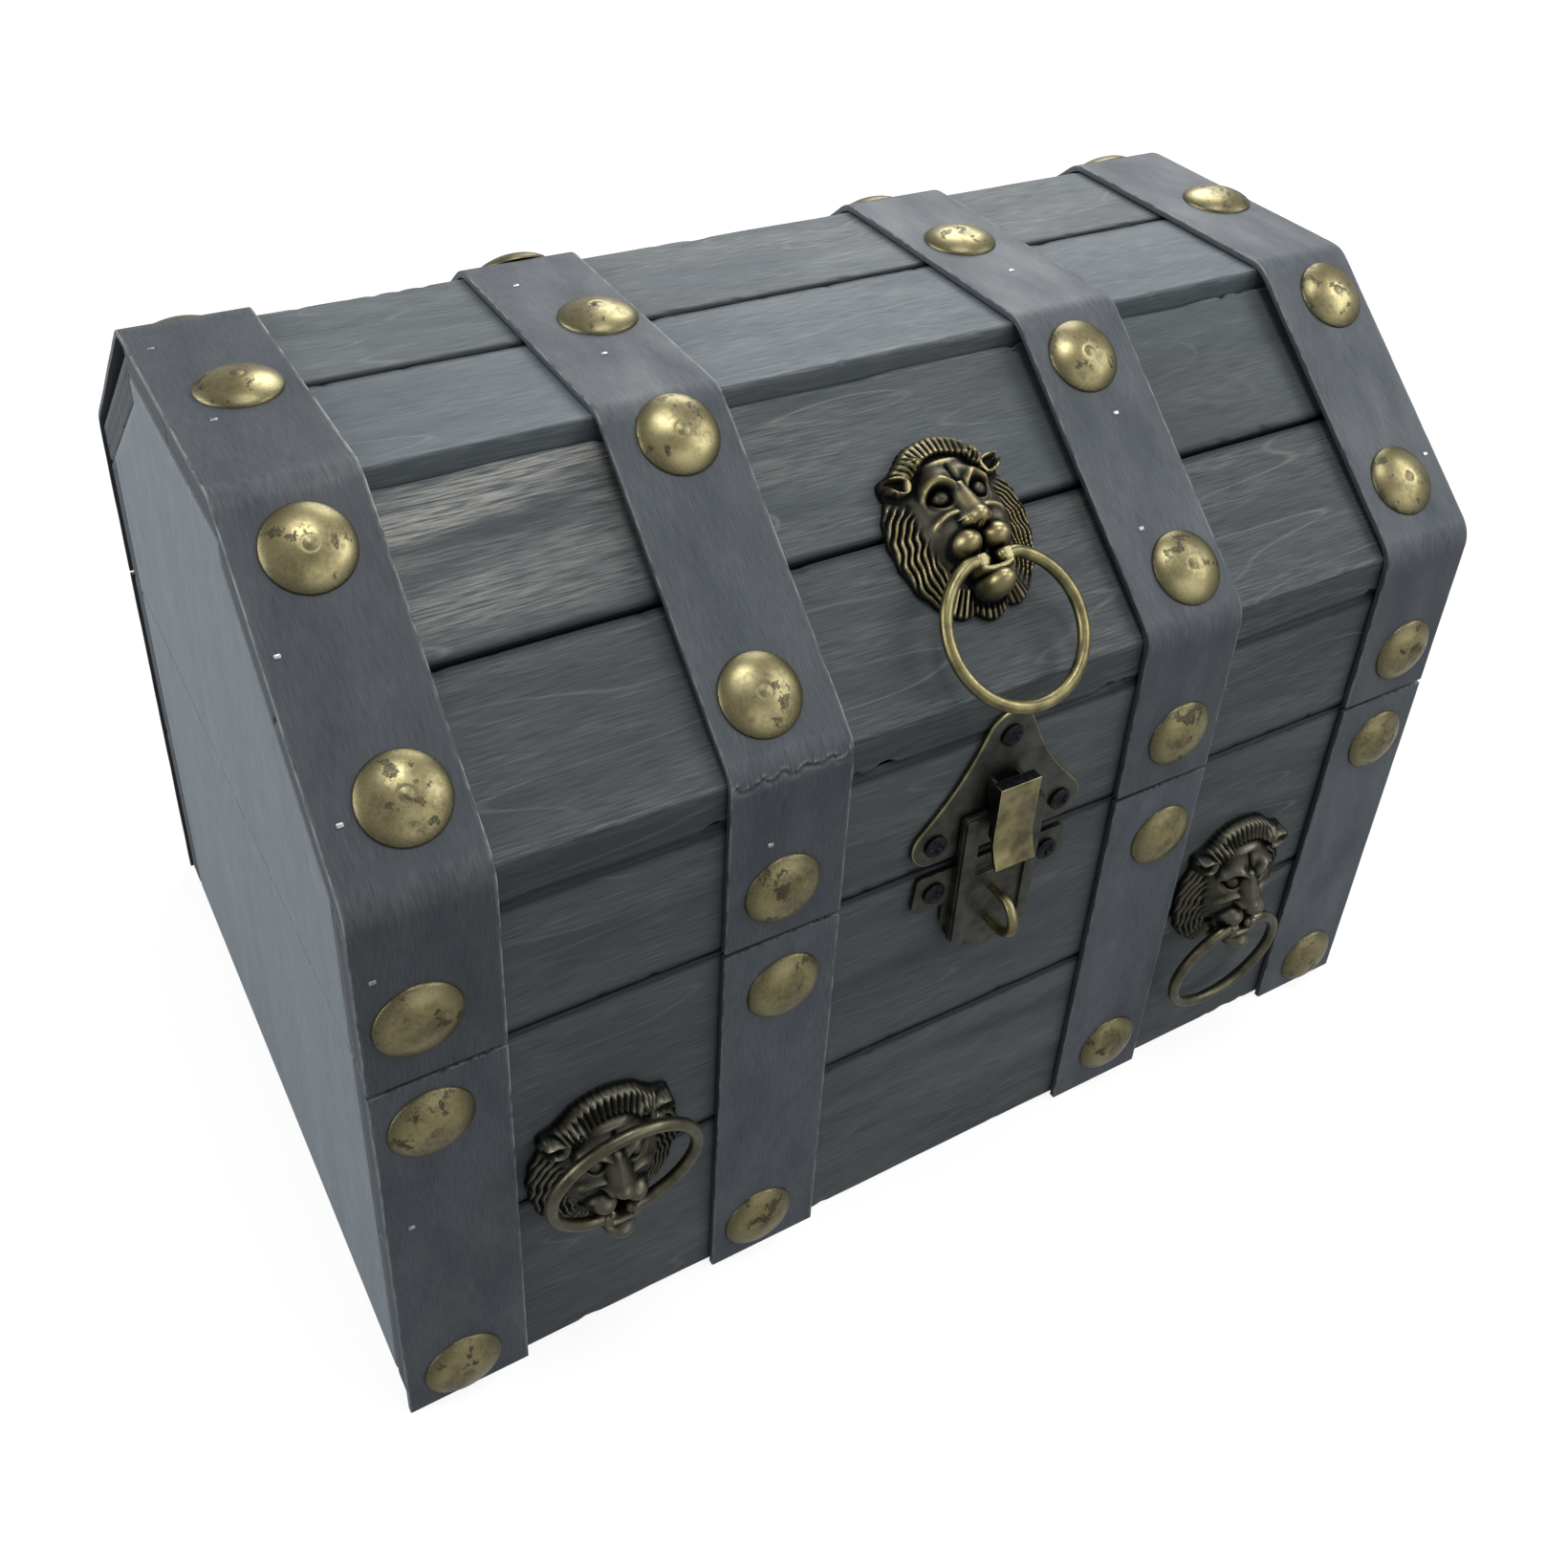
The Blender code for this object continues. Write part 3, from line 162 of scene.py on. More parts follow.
class ChestLatch(bpy.types.PropertyGroup):
    brass: colour("Brass", "Antiqued brass of the plates", "53544e")
    rubbed: colour("Rubbed brass", "Brass rubbed bright on the edges and lever face", "978e68")
    # on the lever's sides and top this is painted shade
    black: colour("Blackened steel", "Blackened screws, pins and lever sides", "1b1e21")
    edge_round: size("Edge rounding", "Rounding of the latch edges", 0.25)


class ChestStage(bpy.types.PropertyGroup):
    floor: colour("Floor", "Colour of the floor and of what surrounds it", "ffffff")
    sky: FloatProperty(name="Sky", description="Strength of the soft light from all round", default=0.32,
                       min=0.0)
    key: FloatProperty(name="Key", description="Power of the soft box at the left", default=28.0, min=0.0,
                       unit="POWER")
    lens: FloatProperty(name="Lens", description="Focal length of the camera in millimetres", default=38.22,
                        min=1.0)


SETTINGS = {
    "chest_wood": ChestWood,
    "chest_bands": ChestBands,
    "chest_studs": ChestStuds,
    "chest_pulls": ChestPulls,
    "chest_latch": ChestLatch,
    "chest_stage": ChestStage,
}


# Frames and shells

def facet(origin, up, out):
    """Frame of a flat surface: x across it, y up it and z out of it."""
    up = Vector(up).normalized()
    out = Vector(out).normalized()
    place = Matrix((up.cross(out), up, out)).transposed().to_4x4()
    place.translation = Vector(origin)
    return place


def wall(x, z, side, y=BAND_Y):
    """Frame on an upright front (-1) or rear (1) surface."""
    return facet((x, side * y, z), (0, 0, 1), (0, side, 0))


def band_slope(x, s, side):
    """Frame on the sloping part of a band, s below the crown bend."""
    y = CROWN_Y + s * math.cos(BAND_ANGLE)
    z = CROWN_Z - s * math.sin(BAND_ANGLE)
    up = (0, -side * math.cos(BAND_ANGLE), math.sin(BAND_ANGLE))
    return facet((x, side * y, z), up, (0, side * math.sin(BAND_ANGLE), math.cos(BAND_ANGLE)))


def slat_slope(x, rise):
    """Frame of a fitting on the front slope slats, a rise above their lower edge."""
    up = Vector((0, math.cos(SLAT_ANGLE), math.sin(SLAT_ANGLE)))
    out = Vector((0, -math.sin(SLAT_ANGLE), math.cos(SLAT_ANGLE)))
    return facet(Vector((x, -BOARD_Y, SLAT_EDGE_Z)) + up * rise + out * SEAT, up, out)


def band_top(x, y):
    """Frame on the flat top of a band."""
    return facet((x, y, CROWN_Z), (0, 1, 0), (0, 0, 1))


class Shell:
    """Points, faces and point marks of a closed skin."""

    def __init__(self, points, faces, **marks):
        self.points = np.asarray(points, float)
        self.faces = [tuple(face) for face in faces]
        self.marks = {name: np.asarray(values, float) for name, values in marks.items()}

    def moved(self, place):
        """The same shell at another place."""
        turn = np.array(place.to_3x3())
        points = self.points @ turn.T + np.array(place.translation)
        return Shell(points, self.faces, **self.marks)


def joined(shells):
    """One shell that holds several."""
    faces = []
    start = 0
    for shell in shells:
        faces += [tuple(i + start for i in face) for face in shell.faces]
        start += len(shell.points)
    marks = {name: np.concatenate([shell.marks[name] for shell in shells]) for name in shells[0].marks}
    return Shell(np.concatenate([shell.points for shell in shells]), faces, **marks)


def grid(rows, columns):
    """Faces between rows of points, with the last column joined to the first."""
    faces = []
    for r in range(rows - 1):
        for c in range(columns):
            d = (c + 1) % columns
            faces.append((r * columns + c, r * columns + d, (r + 1) * columns + d, (r + 1) * columns + c))
    return faces


def tube(rows, columns):
    """Faces of a closed tube of points, with flat ends."""
    last = (rows - 1) * columns
    ends = [tuple(range(columns))[::-1], tuple(range(last, last + columns))]
    return grid(rows, columns) + ends


def unit(vectors):
    """Rows of vectors, each made one long."""
    return vectors / np.linalg.norm(vectors, axis=1, keepdims=True)


def turns(count):
    """Angles spread evenly over a full turn."""
    return np.linspace(0, math.tau, count, endpoint=False)


def ring_of(radius, z, angles):
    """Points round the Z axis, at one height."""
    return np.column_stack((radius * np.cos(angles), radius * np.sin(angles), np.full(len(angles), z)))


def ripple(places, pitch, seed):
    """Smooth random ripple from -1 to 1 along a length."""
    places = np.asarray(places, float)
    low = places.min()
    knots = np.random.default_rng(seed).uniform(-1, 1, int((places.max() - low) / pitch) + 4)
    return np.interp((places - low) / pitch, np.arange(len(knots)), knots)


def step(low, high, value):
    """Smooth step from 0 at low to 1 at high."""
    t = np.clip((value - low) / (high - low), 0, 1)
    return t * t * (3 - 2 * t)


def linked(name, data):
    """New object in the scene."""
    item = bpy.data.objects.new(name, data)
    bpy.context.scene.collection.objects.link(item)
    return item


def mesh_of(body, name):
    """Mesh that takes over what a bmesh holds."""
    mesh = bpy.data.meshes.new(name)
    body.to_mesh(mesh)
    body.free()
    return mesh


def skin(name, shell):
    """Mesh of a shell, its faces turned outwards and its marks kept on the points."""
    body = bmesh.new()
    points = [body.verts.new(point) for point in shell.points]
    for face in shell.faces:
        body.faces.new([points[i] for i in face])
    bmesh.ops.recalc_face_normals(body, faces=body.faces)
    mesh = mesh_of(body, name)
    for mark, values in shell.marks.items():
        if values.ndim == 2:
            mesh.attributes.new(mark, "FLOAT_VECTOR", "POINT").data.foreach_set("vector", values.ravel())
        else:
            mesh.attributes.new(mark, "FLOAT", "POINT").data.foreach_set("value", values)
    return mesh


def stand(name, mesh, finishes, body, nodes, place=None, crease=40):
    """Stands a piece in the scene for its CAD nodes, with its finishes, and lets it ride on a body."""
    for k, finish in enumerate(finishes):
        if k < len(mesh.materials):
            mesh.materials[k] = finish
        else:
            mesh.materials.append(finish)
    mesh.shade_smooth()
    mesh.set_sharp_from_angle(angle=math.radians(crease))
    item = linked(name, mesh)
    item.matrix_world = place or Matrix.Identity(4)
    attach(item, body)
    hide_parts(*nodes)
    return item


# Finishes

def add(tree, kind, sockets=(), out=0, **settings):
    """Adds a shader node, or takes one that is there, sets or links its inputs and gives one of its outputs.

    Inputs are given in order, or by name or number.
    """
    node = tree.nodes.new(f"ShaderNode{kind}") if isinstance(kind, str) else kind
    for key, value in settings.items():
        setattr(node, key, value)
    for key, value in sockets.items() if isinstance(sockets, dict) else enumerate(sockets):
        if isinstance(value, bpy.types.NodeSocket):
            tree.links.new(value, node.inputs[key])
        else:
            node.inputs[key].default_value = value
    return node.outputs[out] if node.outputs else None


def new_finish(name, roughness, metallic=0.0, specular=0.5):
    """Empty finish: its material, node tree and main shader."""
    material = bpy.data.materials.new(name)
    material.use_nodes = True
    tree = material.node_tree
    shader = tree.nodes["Principled BSDF"]
    add(tree, shader, {"Roughness": roughness, "Metallic": metallic, "Specular IOR Level": specular})
    return material, tree, shader


def fields(tree, place, rows):
    """Noise fields, each as long and wide (in mm), as detailed and as rough as its row says."""
    result = []
    for length, width, detail, rough in rows:
        spread = (1 / (length * MM), 1 / (width * MM), 1 / (width * MM))
        at = add(tree, "VectorMath", (place, spread), operation="MULTIPLY")
        noise = {"Vector": at, "Scale": 1.0, "Detail": detail, "Roughness": rough}
        result.append(add(tree, "TexNoise", noise))
    return result


def stained_plywood(wood):
    """Birch plywood, stained slate grey and dry-brushed with white.

    Short fibre strokes run along each board, pale brush streaks lie over them in drifts, a few growth
    lines show through, free edges are rubbed pale, edges at the joints are darkened with dirt and painted
    shade, sawn edges show dark plies, and each board's tone is partly its stain and partly painted light.
    """
    material, tree, shader = new_finish("stained_plywood", 0.6, specular=0.28)
    grain = add(tree, "Attribute", out="Vector", attribute_name="grain")
    brush, tone, edge, ply = [add(tree, "Attribute", out="Fac", attribute_name=mark)
                              for mark in ("brush", "tone", "edge", "ply")]
    fibre, patch, streak, drift, slow = fields(tree, grain, (
        (8, wood.fibre / MM, 2, 0.6),  # fibre bundles, coarser than real ones so that they show
        (80, 14, 4, 0.5),  # patches of stain
        (10, 0.5, 3, 0.6),  # brush streaks
        (60, 9, 2, 0.5),  # drifts where the brush touched
        (130, 20, 1, 0.5)))  # a slow field, whose level lines are the growth lines

    levels = add(tree, "Math", (slow, 5.0), operation="MULTIPLY")
    fold = add(tree, "Math", (levels, 0.5), operation="PINGPONG")
    # plies 1.5 mm thick on the sawn edges
    depth = add(tree, "SeparateXYZ", (grain,), 2)
    layers = add(tree, "Math", (depth, 1.5 * MM), operation="PINGPONG")
    amount, touched, streaks, line, shown, shade, layers, worn, gloss = [
        add(tree, "MapRange", row) for row in (
            (patch, 0.30, 0.70), (drift, 0.30, 0.66), (streak, 0.36, 0.76, 0.0, 0.7),
            (fold, 0.0, 0.035, 1.0, 0.0), (drift, 0.62, 0.42, 0.0, 0.45), (fibre, 0.30, 0.70, 0.82, 1.12),
            (layers, 0.4 * MM, 1.1 * MM, 0.3, 1.3), (streak, 0.46, 0.70, 0.0, 0.2),
            (fibre, 0.3, 0.7, 0.72, 0.5))]
    marks = add(tree, "Math", (streaks, touched), operation="MULTIPLY")
    lines = add(tree, "Math", (line, shown), operation="MULTIPLY")
    faint = add(tree, "Math", (brush, 0.7), operation="MINIMUM")
    # joint edges take dirt and painted shade; a tone below 0 adds deeper stain and painted shade
    marks, lines, worn, darker_stain_and_shade, joint_dirt_and_shade = [
        add(tree, "Math", pair, operation="MULTIPLY", use_clamp=True)
        for pair in ((marks, brush), (lines, faint), (worn, edge), (tone, -1.0), (edge, -1.0))]
    joint_dirt_and_shade = add(tree, "Math", (joint_dirt_and_shade, 1.6), operation="POWER")
    shade = add(tree, "CombineColor", (shade, shade, shade))
    sawn = add(tree, "Math", (layers, fibre), operation="MULTIPLY")
    sawn = add(tree, "Mix", {0: sawn, 6: wood.ply_edge, 7: wood.deep_stain_and_shade}, 2, data_type="RGBA")
    # a tone above 0 lightens a board with thin stain and painted light, a tone below 0 darkens it with deeper
    # stain and painted shade
    body = wood.deep_stain_and_shade
    for share, coat in ((amount, wood.stain), (tone, wood.thin_stain_and_painted_light), (darker_stain_and_shade, wood.deep_stain_and_shade),
                        (marks, wood.dry_brush), (lines, wood.dry_brush), (1.0, shade), (ply, sawn),
                        (worn, wood.dry_brush), (joint_dirt_and_shade, wood.joint_dirt_and_shade)):
        body = add(tree, "Mix", {0: share, 6: body, 7: coat}, 2, data_type="RGBA",
                   blend_type="MULTIPLY" if coat is shade else "MIX")
    relief = add(tree, "Bump", {"Strength": 0.35, "Distance": 0.12 * MM, "Height": fibre})
    add(tree, shader, {"Base Color": body, "Roughness": gloss, "Normal": relief})
    return material


def stained_strip(bands):
    """Thin hardboard strip, stained blue-grey and rubbed.

    Fine felted fibres run along the strip, with cloudy patches; the edges and bends are paler, partly rubbed
    fibre and partly painted highlight, the cut sides are dark with stain and painted shade, and each band's
    tone is painted light.
    """
    material, tree, shader = new_finish("stained_strip", 0.5, specular=0.35)
    grain = add(tree, "Attribute", out="Vector", attribute_name="grain")
    edge, cut, tone = [add(tree, "Attribute", out="Fac", attribute_name=mark)
                       for mark in ("edge", "cut", "tone")]
    fibre, cloud, scuff = fields(tree, grain, (
        (5, 0.4, 3, 0.65),  # felted fibres, drawn coarse so that they show
        (30, 12, 3, 0.5),  # clouds of stain
        (4, 1, 3, 0.5)))  # the pale edges, rubbed and painted as a highlight, broken up along them
    amount, shade, worn, gloss = [add(tree, "MapRange", row) for row in (
        (cloud, 0.30, 0.66, 0.35), (fibre, 0.28, 0.72, 0.68, 1.30), (scuff, 0.38, 0.58),
        (cloud, 0.3, 0.7, 0.62, 0.46))]
    # each band's tone is painted light: darker to the left, lighter on the box
    shade = add(tree, "Math", (shade, tone), operation="MULTIPLY")
    shade = add(tree, "CombineColor", (shade, shade, shade))
    # pale edges and bends: rubbed fibre and painted highlight
    worn = add(tree, "Math", (worn, edge), operation="MULTIPLY", use_clamp=True)
    # the cut sides and the tear are dark with stain and with painted shade
    body = bands.deep_stain_and_shade
    for share, coat in ((amount, bands.stain), (1.0, shade), (cut, bands.deep_stain_and_shade), (worn, bands.worn)):
        body = add(tree, "Mix", {0: share, 6: body, 7: coat}, 2, data_type="RGBA",
                   blend_type="MULTIPLY" if coat is shade else "MIX")
    relief = add(tree, "Bump", {"Strength": 0.25, "Distance": 0.1 * MM, "Height": fibre})
    add(tree, shader, {"Base Color": body, "Roughness": gloss, "Normal": relief})
    return material


def stud_brass(studs):
    """Pressed brass sheet, polished and then left to tarnish.

    The domes shine gold, with a darker press mark in the middle, brown tarnish in soft spots and
    sharp-edged stains, a smear below the middle that is partly tarnish and partly painted shade, and a rim
    darkened with painted shade.
    """
    material, tree, shader = new_finish("pressed_brass", 0.3, 1.0)
    spot = add(tree, "Attribute", out="Vector", attribute_name="spot")
    # the tarnish mark also holds painted shade on the rim and lower side of each dome
    tarnish = add(tree, "Attribute", out="Fac", attribute_name="tarnish")
    stain, haze, rub, fine = fields(tree, spot, (
        (5, 5, 5, 0.62),  # stains with ragged edges
        (8, 8, 2, 0.5),  # haze
        (1.2, 1.2, 3, 0.5),  # rubbing
        (0.4, 0.4, 2, 0.5)))  # grit in the tarnish
    stain, haze, rub, grit = [add(tree, "MapRange", row) for row in (
        (stain, 0.58, 0.62, 0.0, 0.95), (haze, 0.38, 0.70, 0.0, 0.6), (rub, 0.35, 0.70, 0.0, 0.3),
        (fine, 0.3, 0.7, 0.7, 1.1))]
    haze = add(tree, "Math", (haze, rub), operation="ADD")
    dull_and_shaded = add(tree, "Math", (stain, haze), operation="MAXIMUM")
    dull_and_shaded = add(tree, "Math", (dull_and_shaded, tarnish), operation="MAXIMUM")
    dull_and_shaded = add(tree, "Math", (dull_and_shaded, grit), operation="MULTIPLY", use_clamp=True)
    body = add(tree, "Mix", {0: dull_and_shaded, 6: studs.brass, 7: studs.patina_and_shade}, 2, data_type="RGBA")
    gloss = add(tree, "MapRange", {0: dull_and_shaded, 3: 0.27, 4: 0.48})
    relief = add(tree, "Bump", {"Strength": 0.12, "Distance": 0.1 * MM, "Height": fine})
    add(tree, shader, {"Base Color": body, "Roughness": gloss, "Normal": relief})
    return material


def cast_bronze(name, pulls, rubbed):
    """Cast zinc, plated bronze and rubbed back.

    Recesses are nearly black, broad faces brown-bronze and high points rubbed to brass, with a fine
    cast grain all over.
    """
    material, tree, shader = new_finish(name, 0.4, 1.0)
    raised = add(tree, "Attribute", out="Fac", attribute_name="raised")
    place = add(tree, "TexCoord", out="Object")
    # cast grain, and antiquing in patches
    grit, patch = fields(tree, place, ((0.5, 0.5, 3, 0.5), (3, 3, 3, 0.5)))
    stir = add(tree, "MapRange", (patch, 0.3, 0.7, -0.18, 0.18))
    level = add(tree, "Math", (raised, stir), operation="ADD")
    low, high, gloss = [add(tree, "MapRange", (level, *row))
                        for row in ((-0.75, 0.05), (0.15, 0.85), (-0.6, 0.7, 0.6, 0.38))]
    body = add(tree, "Mix", {0: low, 6: pulls.recess, 7: pulls.bronze}, 2, data_type="RGBA")
    body = add(tree, "Mix", {0: high, 6: body, 7: rubbed}, 2, data_type="RGBA")
    relief = add(tree, "Bump", {"Strength": 0.15, "Distance": 0.1 * MM, "Height": grit})
    add(tree, shader, {"Base Color": body, "Roughness": gloss, "Normal": relief})
    return material


def antiqued_brass(name, clean, dark, roughness):
    """Brass sheet or wire, antiqued and buffed: cloudy tarnish over a soft metal shine."""
    material, tree, shader = new_finish(name, roughness, 1.0)
    place = add(tree, "TexCoord", out="Object")
    # tarnish clouds, and buffing scratches
    cloud, buff = fields(tree, place, ((5, 5, 4, 0.5), (0.6, 0.6, 2, 0.5)))
    amount = add(tree, "MapRange", (cloud, 0.36, 0.68))
    body = add(tree, "Mix", {0: amount, 6: clean, 7: dark}, 2, data_type="RGBA")
    gloss = add(tree, "MapRange", (buff, 0.3, 0.7, roughness - 0.06, roughness + 0.1))
    relief = add(tree, "Bump", {"Strength": 0.08, "Distance": 0.1 * MM, "Height": buff})
    add(tree, shader, {"Base Color": body, "Roughness": gloss, "Normal": relief})
    return material


def plain_steel(name, clean, dark, roughness):
    """Small steel hardware, blackened or zinc-bright, with a little dust and handling wear."""
    material, tree, shader = new_finish(name, roughness, 1.0)
    # wear in patches of 1.5 mm
    wear, = fields(tree, add(tree, "TexCoord", out="Object"), ((1.5, 1.5, 4, 0.5),))
    amount = add(tree, "MapRange", (wear, 0.4, 0.7))
    body = add(tree, "Mix", {0: amount, 6: clean, 7: dark}, 2, data_type="RGBA")
    gloss = add(tree, "MapRange", (wear, 0.3, 0.7, roughness, roughness + 0.15))
    add(tree, shader, {"Base Color": body, "Roughness": gloss})
    return material


# Boards

def corner_lines(corners):
    """Unit directions from each corner of a section along its two sides, and half the angle between them."""
    back = unit(np.roll(corners, 1, axis=0) - corners)
    ahead = unit(np.roll(corners, -1, axis=0) - corners)
    half = np.arccos(np.clip((back * ahead).sum(axis=1), -1, 1)) / 2
    return back, ahead, half


def drawn_in(corners, amount):
    """Corners of a section drawn in by an amount on every side."""
    back, ahead, half = corner_lines(corners)
    outward = np.sign(ahead[:, 0] * back[:, 1] - ahead[:, 1] * back[:, 0])
    return corners + unit(back + ahead) * (outward * amount / np.sin(half))[:, None]


def section_ring(corners, radii, reach, steps=4):
    """Points round a section: every corner rounded, with a plain point reach away on either side of it."""
    back, ahead, half = corner_lines(corners)
    centre = corners + unit(back + ahead) * (radii / np.sin(half))[:, None]
    start = corners + back * (radii / np.tan(half))[:, None] - centre
    end = corners + ahead * (radii / np.tan(half))[:, None] - centre
    ring = [corners + back * reach]
    for k in range(steps + 1):
        spoke = start * (1 - k / steps) + end * (k / steps)
        ring.append(centre + spoke * (radii / np.linalg.norm(spoke, axis=1))[:, None])
    ring.append(corners + ahead * reach)
    return np.stack(ring, axis=1).reshape(-1, 2)


def end_corners(node):
    """Corners of a board's section in Y and Z, read from the end of its CAD node, anticlockwise."""
    points = np.array([v.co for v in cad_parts[node].data.vertices])
    ends = points[points[:, 0] < points[:, 0].min() + 1e-5][:, 1:]
    ends = np.unique(np.round(ends, 6), axis=0)
    middle = (ends.min(axis=0) + ends.max(axis=0)) / 2
    ends = ends[np.argsort(np.arctan2(ends[:, 1] - middle[1], ends[:, 0] - middle[0]))]
    half = corner_lines(ends)[2]
    return ends[half < math.radians(89.5)]


END_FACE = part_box("box_right_end")[1].x
# how far a board's edge wear reaches in from a corner
EDGE_REACH = 2.4 * MM
# corners of two boards nearer than this make a joint
JOINT_REACH = 1.6 * MM
# brushing above this strength fades towards the lower edge of a board
EVEN_BRUSHING = 0.6


def brushing(points, strength):
    """How strongly the points of a board were brushed, given the strength from left to right."""
    amount = np.interp(points[:, 0], np.linspace(-0.15, 0.15, len(strength)), strength)
    height = (points[:, 2] - points[:, 2].min()) / np.ptp(points[:, 2])
    return np.minimum(amount, EVEN_BRUSHING) + np.maximum(amount - EVEN_BRUSHING, 0) * height ** 1.6


def board_shell(node, seed, wood, strength, tone, others):
    """One board swept along X: worn, rounded edges, and marks for its grain, plies and brushing.

    An edge that meets one of the other boards, given by their corners, is darkened with dirt and painted
    shade and isn't rubbed.
    """
    corners = end_corners(node)
    nearest = np.linalg.norm(corners[:, None] - others[None, :], axis=2).min(axis=1)
    wear_sign = np.where(nearest < JOINT_REACH, -1.0, 1.0)
    low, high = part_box(node)
    sides = np.roll(corners, -1, axis=0) - corners
    lengths = np.linalg.norm(sides, axis=1)
    normals = np.stack((sides[:, 1], -sides[:, 0]), axis=1) / lengths[:, None]
    if node.endswith("_end"):
        out = np.array((math.copysign(1, low.x), 0, 0))
        along = np.array((0, 0, 1.0))
    else:
        away = corners.mean(axis=0) - (0, SEAM_Z)
        best = max(range(len(sides)), key=lambda i: (round(lengths[i], 4), normals[i] @ away))
        out = np.array((0, *normals[best]))
        along = np.array((1.0, 0, 0))
    sawn = (np.abs(normals @ out[1:]) < 0.7).astype(float)
    end_sawn = float(abs(out[0]) < 0.7)

    e = wood.edge_round
    count = max(4, int((high.x - low.x) / (2 * MM)))
    body = np.linspace(low.x + e, high.x - e, count)
    xs = np.concatenate(([low.x, low.x, low.x + 0.3 * e], body, [high.x - 0.3 * e, high.x, high.x]))
    draw = np.array([e + EDGE_REACH, e, 0.35 * e])
    draw = np.concatenate((draw, np.zeros(count), draw[::-1]))
    radii = []
    for i in range(len(corners)):
        chips = step(0.6, 0.9, ripple(xs, 3 * MM, seed * 57 + i))
        radii.append(e * (1.1 + 0.35 * ripple(xs, 9 * MM, seed * 31 + i) + 1.3 * chips))
    rings = []
    for x, amount, r in zip(xs, draw, np.transpose(radii)):
        reach = EDGE_REACH
        if amount > EDGE_REACH:
            # the inner row of an end has short sides
            reach = 0.25 * EDGE_REACH
            r = np.minimum(r, 0.2 * EDGE_REACH)
        ring = section_ring(drawn_in(corners, amount), r, reach)
        rings.append(np.column_stack((np.full(len(ring), x), ring)))
    points = np.concatenate(rings)

    steps = np.array([0, *np.linspace(0, 1, 5), 1])
    # the long edges are stained over and show their plies less clearly than the ends
    plies = np.roll(sawn, 1)[:, None] * (1 - steps) + sawn[:, None] * steps
    ply = np.tile(0.35 * np.minimum(1, 2.2 * plies).ravel(), (len(xs), 1))
    edge = np.tile((wear_sign[:, None] * (0, 1, 1, 1, 1, 1, 0)).ravel(), (len(xs), 1))
    ply[:2] = ply[-2:] = end_sawn
    edge[0] = edge[-1] = 0
    edge[1:3] = edge[-3:-1] = 1
    across = np.cross(out, along)
    far = (np.column_stack((np.zeros(len(corners)), corners)) @ out).max() if end_sawn else END_FACE
    grain = np.column_stack((points @ along + seed * 1.37, points @ across + seed * 0.61, far - points @ out))
    return Shell(points, tube(len(xs), len(rings[0])), grain=grain, ply=ply.ravel(), edge=edge.ravel(),
                 brush=brushing(points, strength), tone=np.full(len(points), tone))


# how strongly each board was brushed, from left to right; how light (or, below 0, darker) it is made, partly
# by its stain and partly as painted light: the top slats lighter and the front boards darker as the light
# falls on them
BOARD_LOOKS = {
    "lid_front_upper_slat": ((5.5, 1.3, 0.1, 0.4), -0.2),
    "lid_front_lower_slat": ((0.4, 0.4, 0.6, 0.8), -1.0),
    "lid_front_top_slat": ((0.5,), 0.3),
    "lid_rear_top_slat": ((0.6, 0.6, 0.9, 0.6), 0.1),
    "lid_front_rail": ((0.4, 0.4, 0.5, 0.6), -0.3),
    "box_front_upper_board": ((0.35, 0.35, 0.4, 0.5), -0.3),
    "box_front_lower_board": ((0.4, 0.4, 0.5, 0.5), -0.1),
}
END_PANELS = ("box_left_end", "box_right_end", "lid_left_end", "lid_right_end")
PLAIN_BOARDS = ("lid_rear_upper_slat", "lid_rear_lower_slat", "lid_rear_rail", "box_rear_upper_board",
                "box_rear_lower_board", "box_bottom")


class CHEST_OT_boards(bpy.types.Operator):
    """Box boards, lid slats, end panels and bottom"""
    bl_idname = "chest.boards"
    bl_label = "Boards"

    def execute(self, context):
        wood = context.scene.chest_wood
        finish = stained_plywood(wood)
        looks = dict(BOARD_LOOKS)
        # the end panels are lighter, partly thinner stain and partly painted light
        looks.update({node: ((0.3,), 0.6) for node in END_PANELS})
        looks.update({node: ((0.35,), 0.0) for node in PLAIN_BOARDS})
        sections = {node: end_corners(node) for node in looks if node not in END_PANELS}
        for seed, (node, (strength, tone)) in enumerate(sorted(looks.items()), 1):
            others = np.concatenate([section for name, section in sections.items() if name != node])
            shell = board_shell(node, seed, wood, strength, tone, others)
            body = "lid" if node.startswith("lid_") else "box"
            stand(f"{node}_stained", skin(node, shell), [finish], body, [node])
        return {"FINISHED"}


# Bands

def rounded_path(path, radius, steps):
    """Path in Y and Z with its inner corners rounded."""
    corners = np.array(path)
    arcs = section_ring(corners, np.full(len(corners), radius), 0.0, steps).reshape(len(corners), -1, 2)
    return np.concatenate((corners[:1], arcs[1:-1, 1:-1].reshape(-1, 2), corners[-1:]))


def resampled(path, pitch):
    """Path with extra points, no further apart than pitch, and the length along it."""
    gaps = np.linalg.norm(np.diff(path, axis=0), axis=1)
    places = [np.array([0.0])]
    start = 0.0
    for gap in gaps:
        count = max(1, int(math.ceil(gap / pitch)))
        places.append(start + gap * np.arange(1, count + 1) / count)
        start += gap
    places = np.concatenate(places)
    known = np.concatenate(([0.0], np.cumsum(gaps)))
    return np.column_stack([np.interp(places, known, path[:, k]) for k in (0, 1)]), places


